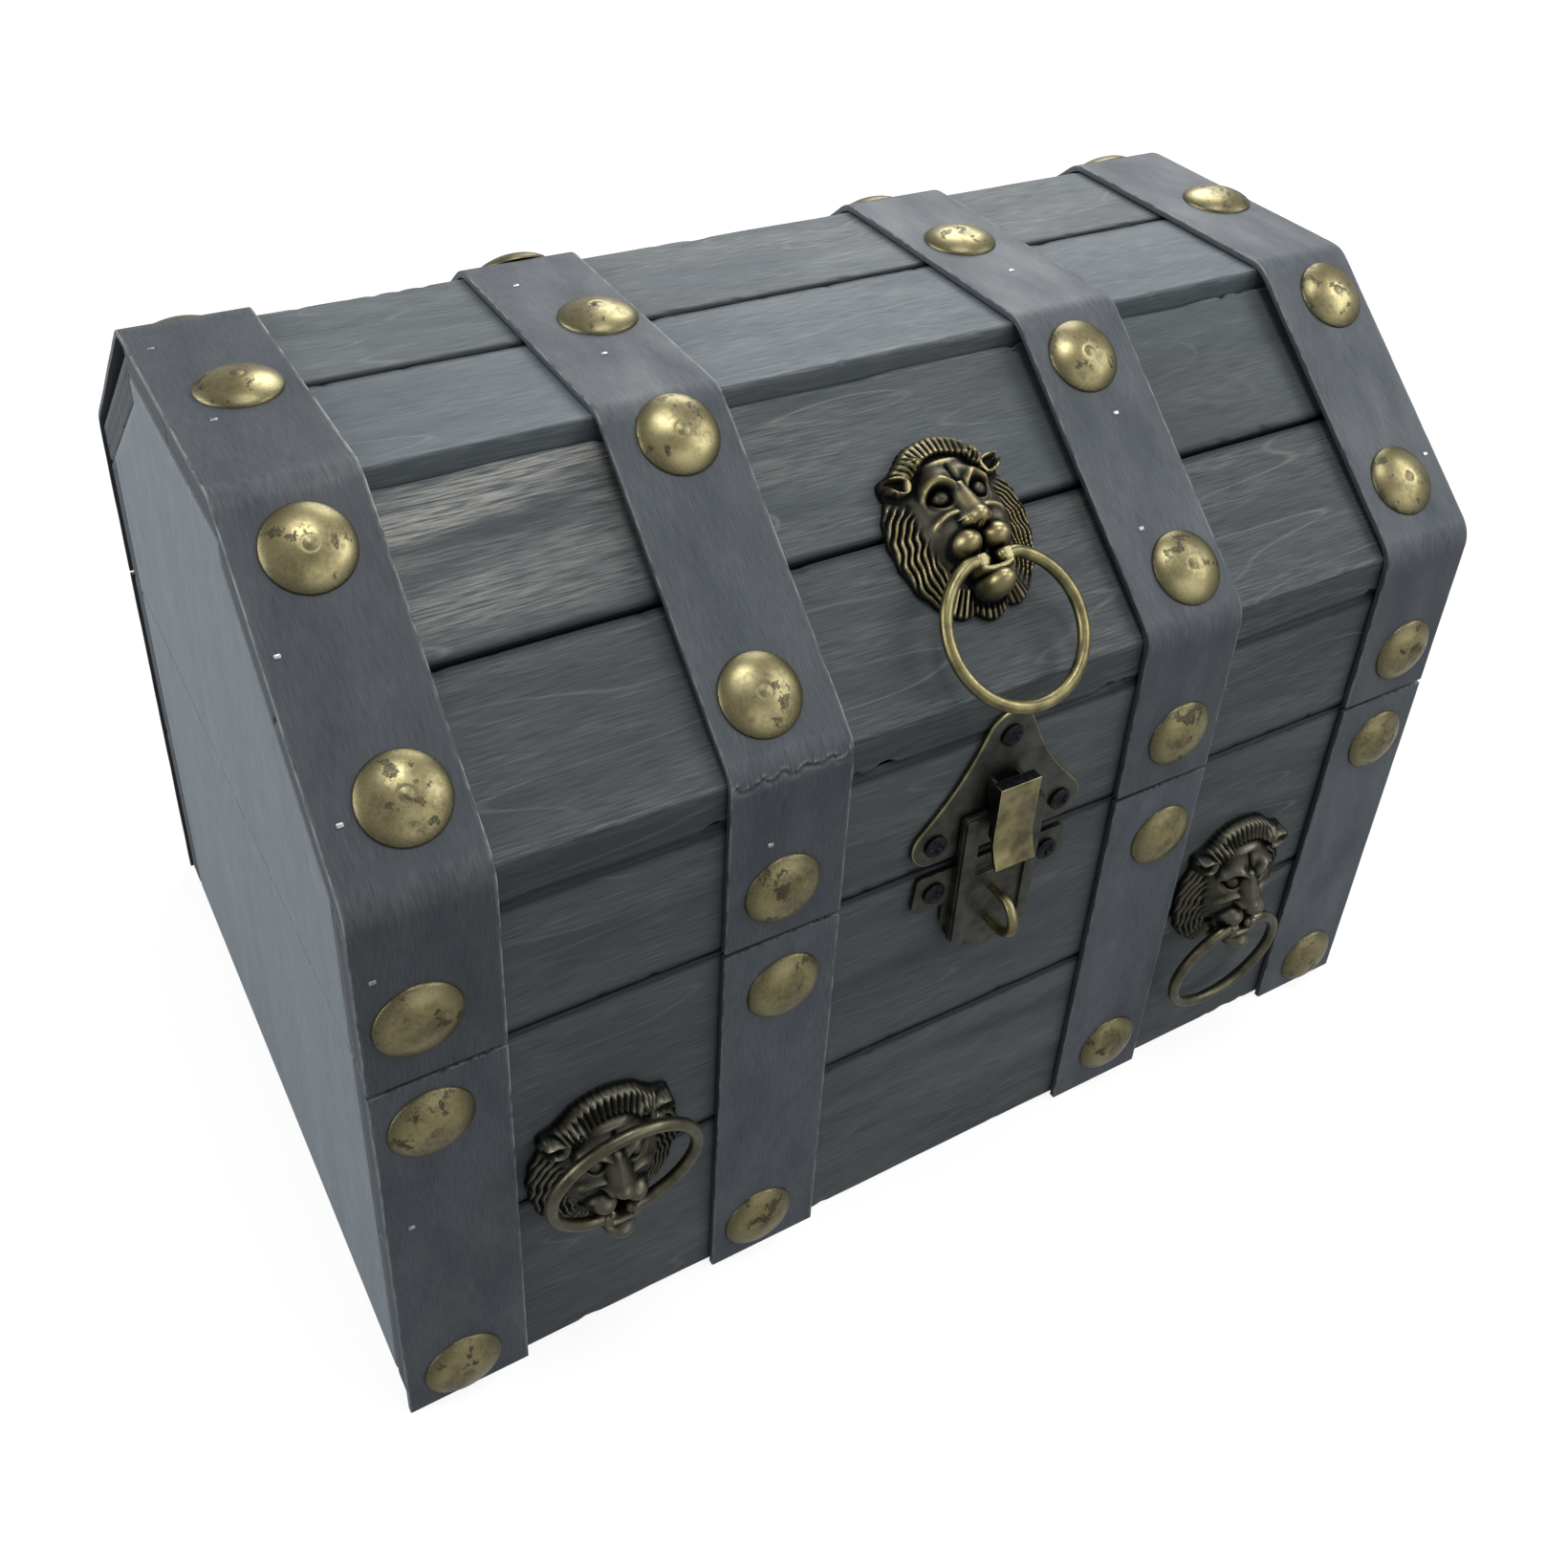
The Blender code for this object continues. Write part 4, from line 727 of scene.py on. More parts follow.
def strip_shell(path, x, seed, bands, pitch, tone, tear_at=None):
    """One band along a path in Y and Z: rounded edges paled by rubbing and a painted highlight, creased bends
    with a painted highlight, dark sides with painted shade and, on one band, a tear darkened with painted
    shade.
    """
    points, along = resampled(path, pitch)
    heading = unit(np.gradient(points, along, axis=0))
    out = np.stack((-heading[:, 1], heading[:, 0]), axis=1)
    turn = np.abs(np.gradient(np.unwrap(np.arctan2(heading[:, 1], heading[:, 0])), along)) * bands.bend
    half = bands.width / 2
    e = bands.edge_round
    left = [(-half + e - e * math.cos(a), e - e * math.sin(a)) for a in np.radians((0, 30, 60, 90))]
    middle = [(u, 0.0) for u in np.linspace(-half + 2.6 * e, half - 2.6 * e, 40)]
    right = [(-u, d) for u, d in reversed(left)]
    ring = np.array([(-half, bands.thickness), *left, *middle, *right, (half, bands.thickness)])
    # paler along the rounded edges, the right more than the left: rubbed fibre and painted highlight
    pale_edge_and_highlight_ring = np.array([0, 0.1, 0.5, 0.5, 0.1, *np.zeros(len(middle)), 0.35, 0.9, 0.9, 0.1, 0])
    # dark sides: their own dark stain, and painted shade in the gap under the band
    dark_side_and_shade_ring = np.array([1, 0.9, 0, 0, 0, *np.zeros(len(middle)), 0, 0, 0, 0.9, 1])
    rows = len(points)
    across, depth, edge, cut = [np.tile(values, (rows, 1)) for values in (*ring.T, pale_edge_and_highlight_ring, dark_side_and_shade_ring)]
    across[:, :5] += 0.05 * MM * ripple(along, 6 * MM, seed)[:, None]
    across[:, -5:] += 0.05 * MM * ripple(along, 6 * MM, seed + 50)[:, None]
    edge *= (0.75 + 0.25 * ripple(along, 25 * MM, seed + 90))[:, None]
    # paler across the band where it bends: crease wear and painted highlight
    edge += 0.05 * turn[:, None] * (pale_edge_and_highlight_ring < 0.05)
    if tear_at is not None:
        u = ring[:, 0]
        jag = 1.1 * MM * ripple(u, 1.3 * MM, seed + 7) + 0.5 * MM * ripple(u, 0.5 * MM, seed + 8)
        past = along[:, None] - (tear_at + jag)[None, :]
        gape = np.exp(-(past / (0.55 * MM)) ** 2) * (depth < 0.6 * MM)
        gape *= step(-half, -half + 2 * MM, u) * step(half, half - 5 * MM, u)
        lip = np.exp(-((past - 0.9 * MM) / (0.5 * MM)) ** 2) * (ring[:, 1] < 0.1 * MM)
        depth += 0.9 * MM * gape
        # the opened tear is painted dark: painted shade in the crack
        cut = np.maximum(cut, gape)
        edge += 0.5 * lip
    place = points[:, None, :] - out[:, None, :] * depth[:, :, None]
    solid = np.concatenate((x + across[:, :, None], place), axis=2).reshape(-1, 3)
    length = np.tile(along[:, None], (1, len(ring))) + seed * 1.71
    grain = np.stack((length, across, depth), axis=2).reshape(-1, 3)
    return Shell(solid, tube(rows, len(ring)), grain=grain, edge=edge.ravel(), cut=cut.ravel(),
                 tone=np.full(len(solid), tone))


# painted light: how light each lid band is made, from left to right, darker at the left where less light
# falls on the slope, and how much lighter the strips on the box are made, standing in for light on the box
# front
PAINTED_LIGHT_BAND_TONES = (0.78, 0.90, 0.96, 1.02)
PAINTED_LIGHT_BOX_TONE = 0.24
# the second band from the left has a tear at the shoulder
TORN_BAND = 1
# how far from the seam the bands end, above and below it
BAND_GAP = 0.7 * MM


class CHEST_OT_bands(bpy.types.Operator):
    """Four bands bent over the lid, and eight straight strips on the box"""
    bl_idname = "chest.bands"
    bl_label = "Bands"

    def execute(self, context):
        bands = context.scene.chest_bands
        finish = stained_strip(bands)
        half = [(-BAND_Y, SEAM_Z + BAND_GAP), (-BAND_Y, SHOULDER_Z), (-CROWN_Y, CROWN_Z)]
        over = rounded_path(half + [(-y, z) for y, z in reversed(half)], bands.bend, 16)
        upright = np.array([(-BAND_Y, 0.0), (-BAND_Y, SEAM_Z - BAND_GAP)])
        tear = SHOULDER_Z - SEAM_Z - BAND_GAP - 2.5 * MM
        for i, x in enumerate(BAND_X):
            pitch, tear_at = (0.3 * MM, tear) if i == TORN_BAND else (1.5 * MM, None)
            shell = strip_shell(over, x, 11 + i, bands, pitch, PAINTED_LIGHT_BAND_TONES[i], tear_at)
            pieces = {f"lid_band_{i + 1}": ("lid", shell)}
            for name, path, seed in (("front", upright, 16 + i), ("rear", upright[::-1] * (-1, 1), 26 + i)):
                shell = strip_shell(path, x, seed, bands, 1.5 * MM, PAINTED_LIGHT_BAND_TONES[i] + PAINTED_LIGHT_BOX_TONE)
                pieces[f"box_{name}_band_{i + 1}"] = ("box", shell)
            for node, (body, shell) in pieces.items():
                stand(f"{node}_strip", skin(f"{body}_strip", shell), [finish], body, [node],
                      crease=60)
        return {"FINISHED"}


# Studs and brads, placed on the bands

# how far each stud stands off the middle of its band, from left to right, in millimetres
STUD_SHIFT = {
    "top": (2.0, 4.4, -0.7, 5.0),
    "upper": (0.1, 1.2, -1.0, 3.4),
    "lower": (2.4, -2.0, 3.0, -0.8),
    "rail": (-3.0, -1.0, 1.7, 1.6),
    "box": (-2.6, 0.9, 3.5, 1.6),
    "foot": (-1.2, -1.9, 1.7, 1.9),
}
# where it stands along the band: on the top, below the crown bend, above and below the seam, above the base
STUD_PLACE = {
    "top": (0.9, 1.3, 5.0, 0.0),
    "upper": (14.6, 9.3, 13.2, 12.6),
    "lower": (65.9, 67.8, 69.9, 65.6),
    "rail": (17.2, 14.8, 15.9, 15.2),
    "box": (14.0, 16.8, 18.9, 16.0),
    "foot": (10.4, 12.3, 14.8, 10.4),
}
# brads: (band, across from its middle, place along the facet), in millimetres
TOP_BRADS = ((0, -10.1, 25.4), (0, -6.1, -11.0), (1, -6.2, 24.5), (1, -2.1, -16.3), (2, 0.6, -16.1))
SLOPE_BRADS = ((0, -11.5, 33.6), (0, -10.1, 67.2), (2, -4.9, 57.8), (2, 1.6, 28.9), (3, 11.2, 60.8))
RAIL_BRADS = ((0, -10.9, 31.6), (1, -4.8, 29.2))
BOX_BRADS = ((0, -9.3, 45.2),)


def stud_places(i):
    """Places of one band's studs, for the strips that hold them: lid, box front and box rear."""
    across = {row: BAND_X[i] + shifts[i] * MM for row, shifts in STUD_SHIFT.items()}
    along = {row: places[i] * MM for row, places in STUD_PLACE.items()}
    lid = [band_top(across["top"], along["top"])]
    box = []
    for side in (-1, 1):
        lid += [band_slope(across[row], along[row], side) for row in ("upper", "lower")]
        lid.append(wall(across["rail"], SEAM_Z + along["rail"], side))
        box.append([wall(across["box"], SEAM_Z - along["box"], side),
                    wall(across["foot"], along["foot"], side)])
    return [lid, *box]


def brad_places(i):
    """Places of one band's brads, on the lid and on the box front."""
    def on(brads, facet_at):
        return [facet_at(BAND_X[i] + u * MM, place * MM) for band, u, place in brads if band == i]

    lid = on(TOP_BRADS, band_top)
    lid += on(SLOPE_BRADS, lambda x, s: band_slope(x, s, -1))
    lid += on(RAIL_BRADS, lambda x, rise: wall(x, SEAM_Z + rise, -1))
    return lid, on(BOX_BRADS, lambda x, drop: wall(x, SEAM_Z - drop, -1))


def stud_shell(studs, seed):
    """Domed head pressed from sheet: a crisp rim, a full dome with shallow dents and a press mark on top."""
    rng = np.random.default_rng(seed)
    radius = studs.diameter / 2
    lift = 0.3 * MM
    # painted shade: the dome darkens towards its rim
    rim_shade = 0.75
    r = np.concatenate((np.linspace(0.02, 0.2, 7), np.linspace(0.24, 0.9, 13), (0.94, 0.97, 0.99, 1.0)))
    columns = 56
    angle = turns(columns)
    rr, aa = np.meshgrid(r, angle, indexing="ij")
    x, y = rr * np.cos(aa), rr * np.sin(aa)
    z = (studs.height - lift) * np.maximum(0, 1 - rr ** 1.9) ** 0.72
    z -= 0.10 * MM * np.exp(-((rr - 0.165) / 0.03) ** 2)
    z += 0.10 * MM * step(0.10, 0.03, rr)
    for _ in range(4):
        aside = np.angle(np.exp(1j * (aa - rng.uniform(0, math.tau))))
        dent = np.exp(-((rr - rng.uniform(0.3, 0.7)) / 0.22) ** 2 - (aside / 0.5) ** 2)
        z -= 0.05 * MM * rng.uniform(0.2, 1) * dent
    points = np.stack((radius * x, radius * y, z + lift * (rr < 0.995)), axis=2)
    points = np.concatenate((points.reshape(-1, 3), ring_of(radius, -0.1 * MM, angle)))
    # a smear below the middle: partly tarnish, partly painted shade on the dome's lower side
    lower_smear_and_shade = np.exp(-((x - 0.28) / 0.22) ** 2 - (y / 0.30) ** 2) * rng.uniform(0.2, 0.8)
    tarnish = np.maximum(np.maximum(lower_smear_and_shade, 0.6 * step(0.21, 0.14, rr)), rim_shade * step(0.5, 1.0, rr))
    tarnish = np.concatenate((tarnish.ravel(), np.full(columns, rim_shade)))
    return Shell(points, tube(len(r) + 1, columns), spot=points + rng.uniform(-1, 1, 3), tarnish=tarnish)


def brad_shell(studs):
    """Brad head: a small pillow of bright steel in the face of the band."""
    columns = 24
    angle = turns(columns)
    c, s = np.cos(angle), np.sin(angle)
    flat = (np.abs(c) ** 5 + np.abs(s) ** 5) ** -0.2
    rings = []
    for z, draw in ((-0.6, 1.0), (0.12, 1.0), (0.25, 0.9), (0.3, 0.65), (0.3, 0.2)):
        across = studs.brad_width * flat * draw
        rings.append(np.column_stack((across / 2 * c, across / 3 * s, np.full(columns, z * MM))))
    return Shell(np.concatenate(rings), tube(len(rings), columns))


class CHEST_OT_studs(bpy.types.Operator):
    """Domed studs on every band, and the brads between them"""
    bl_idname = "chest.studs"
    bl_label = "Studs and brads"

    def execute(self, context):
        studs = context.scene.chest_studs
        brass = stud_brass(studs)
        steel = plain_steel("bright_steel_brads", studs.steel, linear("7f8488"), 0.32)
        seed = 100
        for i in range(len(BAND_X)):
            for strip, places in zip(("lid", "box_front", "box_rear"), stud_places(i)):
                shells = []
                for place in places:
                    seed += 1
                    turn = Matrix.Rotation(math.sin(seed * 2.4) - math.pi / 2, 4, "Z")
                    shells.append(stud_shell(studs, seed).moved(place @ turn))
                node = f"{strip}_band_{i + 1}"
                stand(f"{node}_studs", skin("studs", joined(shells)), [brass], strip[:3], [node],
                      crease=55)
        brad = brad_shell(studs)
        for k, strip in enumerate(("lid", "box_front")):
            for i in range(len(BAND_X)):
                places = brad_places(i)[k]
                if places:
                    node = f"{strip}_band_{i + 1}"
                    shell = joined([brad.moved(place) for place in places])
                    stand(f"{node}_brads", skin("brads", shell), [steel], strip[:3], [node])
        return {"FINISHED"}


# Lion masks and rings

# frames on the backs of the masks; the lid's stands this far up the slope
MASK_RISE = 38.2 * MM
MASKS = {
    "left": wall(middle("left_lion").x, middle("left_lion").z, -1, BOARD_Y + SEAT),
    "right": wall(middle("right_lion").x, middle("right_lion").z, -1, BOARD_Y + SEAT),
    "lid": slat_slope(middle("lid_lion").x, MASK_RISE),
}
# width, height and depth of the mask as it is drawn below, in mm
MASK_DRAWN = (38.0, 45.2, 14.0)
# half of the mask's outline in mm, from the top of the hair round the ear and mane to the middle of the beard
MASK_OUTLINE = np.array((
    (0, 22.6), (2, 22.3), (4, 21.9), (6, 21.3), (8, 20.2), (9.6, 18.6), (11, 17.2), (12.4, 16.2),
    (13.6, 15.8), (15.2, 15.2), (16.0, 14.4), (16.2, 12.4), (15.6, 10.2), (16.3, 9.2), (17.6, 7.2),
    (18.6, 4.2), (19.0, 1.0), (18.9, -2.5), (18.2, -6.5), (17.2, -10.2), (15.6, -13.6), (13.4, -16.2),
    (11.6, -18.0), (9.6, -19.8), (7.8, -20.7), (6.0, -20.6), (4.6, -19.9), (3.4, -20.9), (2.0, -22.1),
    (0, -22.6)))
# strands of the mane that reach the outline, and locks of the crown, for each radian round it
STRAND_FLOW = 3.2
LOCKS = 80
# how the rings stand at rest, in degrees from hanging straight
RING_ANGLES = {"left": 170.0, "right": -8.0, "lid": -8.0}


def folded_over(angle):
    """Angle from the right, with the left half of the mask folded over onto the right."""
    return np.where(np.abs(angle) > math.pi / 2, np.sign(angle) * math.pi - angle, angle)


def mask_rim(angle):
    """Distance in mm from the mask's middle to its outline at an angle from the right, with hair locks."""
    known = np.arctan2(MASK_OUTLINE[:, 1], MASK_OUTLINE[:, 0])
    reach = np.hypot(MASK_OUTLINE[:, 0], MASK_OUTLINE[:, 1])
    folded = folded_over(angle)
    rim = np.interp(folded, known[::-1], reach[::-1])
    crest = step(0.95, 1.15, folded)
    side = step(-1.0, -0.8, folded) * step(0.55, 0.35, folded)
    tips = 0.35 * crest * (0.5 + 0.5 * np.cos(folded * LOCKS))
    return rim - tips - 0.45 * side * (0.5 - 0.5 * np.cos(math.tau * STRAND_FLOW * folded))


def mask_height(x, y):
    """Height of the mask above its back, in mm, at places in mm."""
    ax = np.abs(x)
    angle = np.arctan2(y, x)
    folded = folded_over(angle)
    rim = mask_rim(angle) - np.hypot(x, y)

    def hump(cx, cy, rx, ry, tall):
        return tall * np.exp(-((ax - cx) / rx) ** 2 - ((y - cy) / ry) ** 2)

    def boss(cx, cy, rx, ry, low, tall):
        room = 1 - ((ax - cx) / rx) ** 2 - ((y - cy) / ry) ** 2
        return np.where(room > 0, low + tall * np.sqrt(np.maximum(0, room)), 0)

    def over(first, second, soft):
        mix = np.maximum(soft - np.abs(first - second), 0) / soft
        return np.maximum(first, second) + mix * mix * soft / 4

    def window(low, high, soft, value):
        return step(low - soft, low + soft, value) * step(high + soft, high - soft, value)

    # mane plate: strands along the sides, a comb of locks on the crown, a fan of beard below
    side = window(-0.95, 0.50, 0.12, folded)
    crown = step(0.82, 1.0, folded)
    beard = step(-0.95, -1.15, folded)
    mane = 1.2 + 0.34 * np.clip(rim, 0, 8)
    strand = np.cos(math.tau * (rim / 1.6 - STRAND_FLOW * folded + 0.1 * np.sin(y * 0.9)))
    mane = mane + side * 0.6 * strand * step(0, 0.8, rim) * step(9.0, 6.0, rim)
    mane = mane + crown * (2.3 + 0.6 * np.cos(folded * LOCKS)) * window(0.1, 5.0, 0.6, rim)
    tuft = np.cos((folded + math.pi / 2) * 90)
    mane = mane + beard * (0.3 + 0.55 * tuft) * window(0.1, 6.5, 0.6, rim)
    mane = mane + hump(7.8, 16.4, 1.9, 1.2, 2.4) - hump(7.6, 16.2, 0.8, 0.4, 1.3)
    mane = mane + hump(10.6, 13.8, 1.5, 1.4, 1.8)

    # face: skull, hairline and forehead with its furrow
    h = over(mane, boss(0, 1.6, 12.7, 15.8, 0, 9.3), 1.4)
    h = h + hump(0, 15.2, 7.5, 1.2, 1.5)
    h = h + hump(3.4, 12.3, 2.6, 2.2, 1.1) - 0.9 * np.exp(-(ax / 0.6) ** 2) * window(8.8, 13.8, 0.8, y)

    # ears: a raised cup edge round a hollow
    along = ((ax - 13.0) * 0.936 + (y - 12.5) * 0.351) / 3.5
    width = 2.3 * np.sqrt(np.clip(1 - along ** 2, 0, 1)) * (1 - 0.4 * along) + 1e-6
    ear = np.where(np.abs(along) < 1, np.abs((y - 12.5) * 0.936 - (ax - 13.0) * 0.351) / width, 9.0)
    h = over(h, 5.4 * step(1.15, 0.85, ear), 0.5) - 2.6 * step(0.72, 0.40, ear) * step(-0.75, -0.3, along)

    # brows, sockets, eyes and lower lids
    brow_y = 7.2 + 3.2 * np.sin(math.pi * np.clip((ax - 0.9) / 8.8, 0, 1))
    brow = np.exp(-((y - brow_y) / 1.45) ** 2) * window(1.3, 8.9, 0.7, ax)
    eye = np.hypot(ax - 5.0, y - 6.2)
    h = h - 3.0 * np.exp(-(np.hypot((ax - 5.0) / 3.1, (y - 6.3) / 2.35)) ** 3)
    h = h + 2.4 * brow
    h = over(h, boss(5.0, 6.2, 1.95, 1.95, 6.3, 2.4), 0.25)
    h = h + 0.55 * np.exp(-((eye - 2.55) / 0.42) ** 2) * step(6.4, 5.2, y)

    # cheekbones and cheeks
    bone_y = 1.9 - 0.085 * (ax - 5.0) ** 2
    h = h + 1.15 * np.exp(-((y - bone_y) / 0.85) ** 2) * window(3.0, 9.4, 0.9, ax)
    h = h + hump(9.0, -1.8, 3.6, 4.2, 1.1)

    # nose: a ridge that widens to a round tip with two wings
    t = np.clip((9.4 - y) / 9.8, 0, 1)
    ridge = (8.9 + 4.6 * t) - 1.5 * (ax / (1.55 + 1.15 * t)) ** 2
    h = over(h, ridge * window(-0.8, 9.2, 0.6, y), 0.8)
    h = over(h, boss(0, -0.5, 2.9, 2.6, 9.4, 4.5), 0.5)
    h = over(h, boss(2.4, -0.9, 1.5, 1.4, 9.0, 3.0), 0.4)
    h = h - hump(1.15, -2.55, 0.6, 0.5, 1.6)

    # muzzle pads, mouth with the pillars that hold the ring, lip and chin
    h = over(h, boss(3.9, -5.3, 3.9, 3.4, 6.2, 6.0), 0.5)
    h = h - 1.6 * np.exp(-(ax / 0.55) ** 2) * window(-8.4, -3.2, 0.5, y)
    mouth = window(-12.2, -8.8, 0.45, y) * step(6.4, 5.6, ax)
    floor = 6.3 + 5.1 * window(2.15, 4.7, 0.35, ax)
    h = h * (1 - mouth) + floor * mouth
    lip_y = -13.0 + 0.055 * ax ** 2
    lip = 11.2 * np.exp(-((y - lip_y) / 1.5) ** 4) * step(5.8, 4.2, ax)
    h = over(h, lip, 0.5)
    h = over(h, boss(0, -15.7, 4.3, 3.4, 5.8, 7.2), 0.5)
    h = h - hump(6.8, -10.6, 1.3, 1.6, 1.6)
    return np.maximum(h, 0.9)


def mask_shell(pulls):
    """Lion mask as a closed casting with a flat back, and a mark for its raised and sunken places."""
    columns = 400
    angle = np.linspace(-math.pi, math.pi, columns, endpoint=False)
    share = np.concatenate((np.linspace(0.01, 0.965, 86), (0.985, 1.0)))
    rim = mask_rim(angle)
    x = share[:, None] * (rim * np.cos(angle))[None, :]
    y = share[:, None] * (rim * np.sin(angle))[None, :]
    h = mask_height(x, y)
    h[-1] = 0.7
    around = np.zeros_like(h)
    for reach, count in ((0.6, 6), (1.3, 10)):
        for k in range(count):
            a = math.tau * k / count
            around += mask_height(x + reach * math.cos(a), y + reach * math.sin(a)) / (2 * count)
    raised = np.clip((h - around) / 0.42, -1, 1) + 0.35 * step(5, 13, h) - 0.12
    raised = raised - 0.9 * step(2.6, 1.6, np.hypot(np.abs(x) - 5.0, y - 6.2))
    scale = np.divide((pulls.mask_width, pulls.mask_height, pulls.mask_depth), MASK_DRAWN)
    points = np.stack((x, y, h), axis=2).reshape(-1, 3) * scale
    points = np.concatenate((points, points[-columns:] * (1, 1, 0)))
    raised = np.concatenate((raised.ravel(), np.full(columns, 0.1)))
    return Shell(points, tube(len(share) + 1, columns), raised=raised)


def wire_shell(path, out, diameter):
    """Round wire along a flat path of points, given the direction out of its plane, with domed ends."""
    path = np.asarray(path, float)
    heading = unit(np.gradient(path, axis=0))
    across = np.cross(heading, out)
    rows = [(p, a, 1.0) for p, a in zip(path, across)]
    for far, share in ((0.2, 0.75), (0.3, 0.15)):
        rows.insert(0, (path[0] - heading[0] * far * diameter, across[0], share))
        rows.append((path[-1] + heading[-1] * far * diameter, across[-1], share))
    sides = 20
    turn = turns(sides)
    points = []
    for point, side, share in rows:
        round_ = np.outer(np.cos(turn), side) + np.outer(np.sin(turn), np.asarray(out, float))
        points.append(point + round_ * diameter / 2 * share)
    return Shell(np.concatenate(points), tube(len(rows), sides))


def smoothed(path, pitch, soft):
    """Path of points evenly spaced and rounded at its corners, its ends kept."""
    path = np.asarray(path, float)
    known = np.concatenate(([0.0], np.cumsum(np.linalg.norm(np.diff(path, axis=0), axis=1))))
    places = np.linspace(0, known[-1], int(known[-1] / pitch) + 1)
    fine = np.column_stack([np.interp(places, known, path[:, k]) for k in range(3)])
    weight = np.exp(-((places[:, None] - places[None, :]) / soft) ** 2)
    ends = np.minimum(places, known[-1] - places)
    weight[ends < 2 * soft] = np.eye(len(places))[ends < 2 * soft]
    return (weight @ fine) / weight.sum(axis=1, keepdims=True)


class CHEST_OT_masks(bpy.types.Operator):
    """Three lion masks, and the screws that hold them from inside"""
    bl_idname = "chest.masks"
    bl_label = "Lion masks"

    def execute(self, context):
        pulls = context.scene.chest_pulls
        rubbed = cast_bronze("rubbed_bronze_casting", pulls, pulls.rubbed)
        # painted shade: the box masks get a darker, colder copy of the rubbed brass
        dull_and_shaded = cast_bronze("shaded_bronze_casting", pulls, pulls.dull_and_shaded)
        steel = plain_steel("bright_steel_screws", linear("b4b8ba"), linear("6f7477"), 0.34)
        mesh = skin("lion_mask", mask_shell(pulls))
        screw = skin("mask_screw", screw_shell(3.1 * MM, 2.0 * MM, 1.5 * MM, 13.3 * MM))
        inside = Matrix.Translation((0, 6.0 * MM, -SEAT - BOARD_THICKNESS)) @ Matrix.Rotation(math.pi, 4, "Y")
        for name, place in MASKS.items():
            body, bronze = ("lid", rubbed) if name == "lid" else ("box", dull_and_shaded)
            stand(f"{name}_lion_mask", mesh.copy(), [bronze], body, [f"{name}_lion"], place,
                  crease=70)
            stand(f"{name}_mask_screw", screw.copy(), [steel], body, [f"{name}_lion_screw"],
                  place @ inside)
        return {"FINISHED"}


class CHEST_OT_rings(bpy.types.Operator):
    """Three open wire rings that swing in the lions' mouths"""
    bl_idname = "chest.rings"
    bl_label = "Rings"

    def execute(self, context):
        pulls = context.scene.chest_pulls
        rubbed = antiqued_brass("rubbed_brass_wire", pulls.ring, linear("5f5a42"), 0.34)
        # painted shade: the box rings get a darker copy of the ring brass
        dull_and_shaded = antiqued_brass("shaded_brass_wire", pulls.shaded_ring, linear("4a483c"), 0.36)
        radius = pulls.ring_radius
        half = 5.0 * MM + pulls.ring_wire / 2
        drop = math.sqrt(radius ** 2 - half ** 2)
        start = math.asin(half / radius)
        path = [(2.0 * MM, 0, 0)]
        for a in np.linspace(start, math.tau - start, 121):
            path.append((radius * math.sin(a), radius * math.cos(a) - drop, 0))
        path.append((-2.0 * MM, 0, 0))
        shell = wire_shell(smoothed(path, 0.8 * MM, 1.2 * MM), (0, 0, 1), pulls.ring_wire)
        for name, mask in MASKS.items():
            pin = mask @ Matrix.Translation((0, -10.4 * MM, 9.6 * MM))
            place = pin @ Matrix.Rotation(-math.radians(RING_ANGLES[name]), 4, "X")
            finish = rubbed if name == "lid" else dull_and_shaded
            stand(f"{name}_ring_wire", skin("ring", shell), [finish], f"{name}_pull", [f"{name}_ring"],
                  place)
        return {"FINISHED"}


def screw_shell(head, tall, shank, length):
    """Cross-head screw: a low round head with a cross recess, and its shank below."""
    columns = 64
    angle = turns(columns)
    rows = []
    for share in (0.02, 0.1, 0.2, 0.3, 0.4, 0.5, 0.58, 0.66, 0.76, 0.86, 0.94, 1.0):
        x = share * head * np.cos(angle)
        y = share * head * np.sin(angle)
        z = tall * (0.45 + 0.55 * math.sqrt(1 - min(share, 0.999) ** 2.4))
        arm = 0.16 * head
        cross = np.maximum(step(arm * 1.5, arm * 0.7, np.abs(x)), step(arm * 1.5, arm * 0.7, np.abs(y)))
        cross = cross * step(0.66 * head, 0.5 * head, share * head)
        rows.append(np.column_stack((x, y, z - 0.6 * tall * cross)))
    for radius, z in ((head, 0.12 * tall), (head * 0.97, 0.0), (shank, 0.0), (shank, -length),
                      (shank * 0.1, -length - shank)):
        rows.append(ring_of(radius, z, angle))
    return Shell(np.concatenate(rows), tube(len(rows), columns))


# Latch and hinges

def evaluated(mesh, kind, **settings):
    """Mesh with one modifier applied."""
    item = linked("work", mesh)
    modifier = item.modifiers.new(kind, kind)
    for key, value in settings.items():
        setattr(modifier, key, value)
    graph = bpy.context.evaluated_depsgraph_get()
    result = bpy.data.meshes.new_from_object(item.evaluated_get(graph))
    bpy.data.objects.remove(item)
    return result


def slab(outline, low, high):
    """Flat plate with an outline in mm, between two heights in mm."""
    body = bmesh.new()
    base = body.faces.new([body.verts.new((x * MM, y * MM, low * MM)) for x, y in outline])
    grown = bmesh.ops.extrude_face_region(body, geom=[base])
    lifted = [item for item in grown["geom"] if isinstance(item, bmesh.types.BMVert)]
    bmesh.ops.translate(body, verts=lifted, vec=(0, 0, (high - low) * MM))
    bmesh.ops.recalc_face_normals(body, faces=body.faces)
    return mesh_of(body, "slab")


def upright(outline, low, high):
    """Plate on edge, between two places across: its outline is height above the boards and place up them."""
    mesh = slab([(-h, y) for h, y in outline], low, high)
    mesh.transform(Matrix.Rotation(math.pi / 2, 4, "Y"))
    return mesh


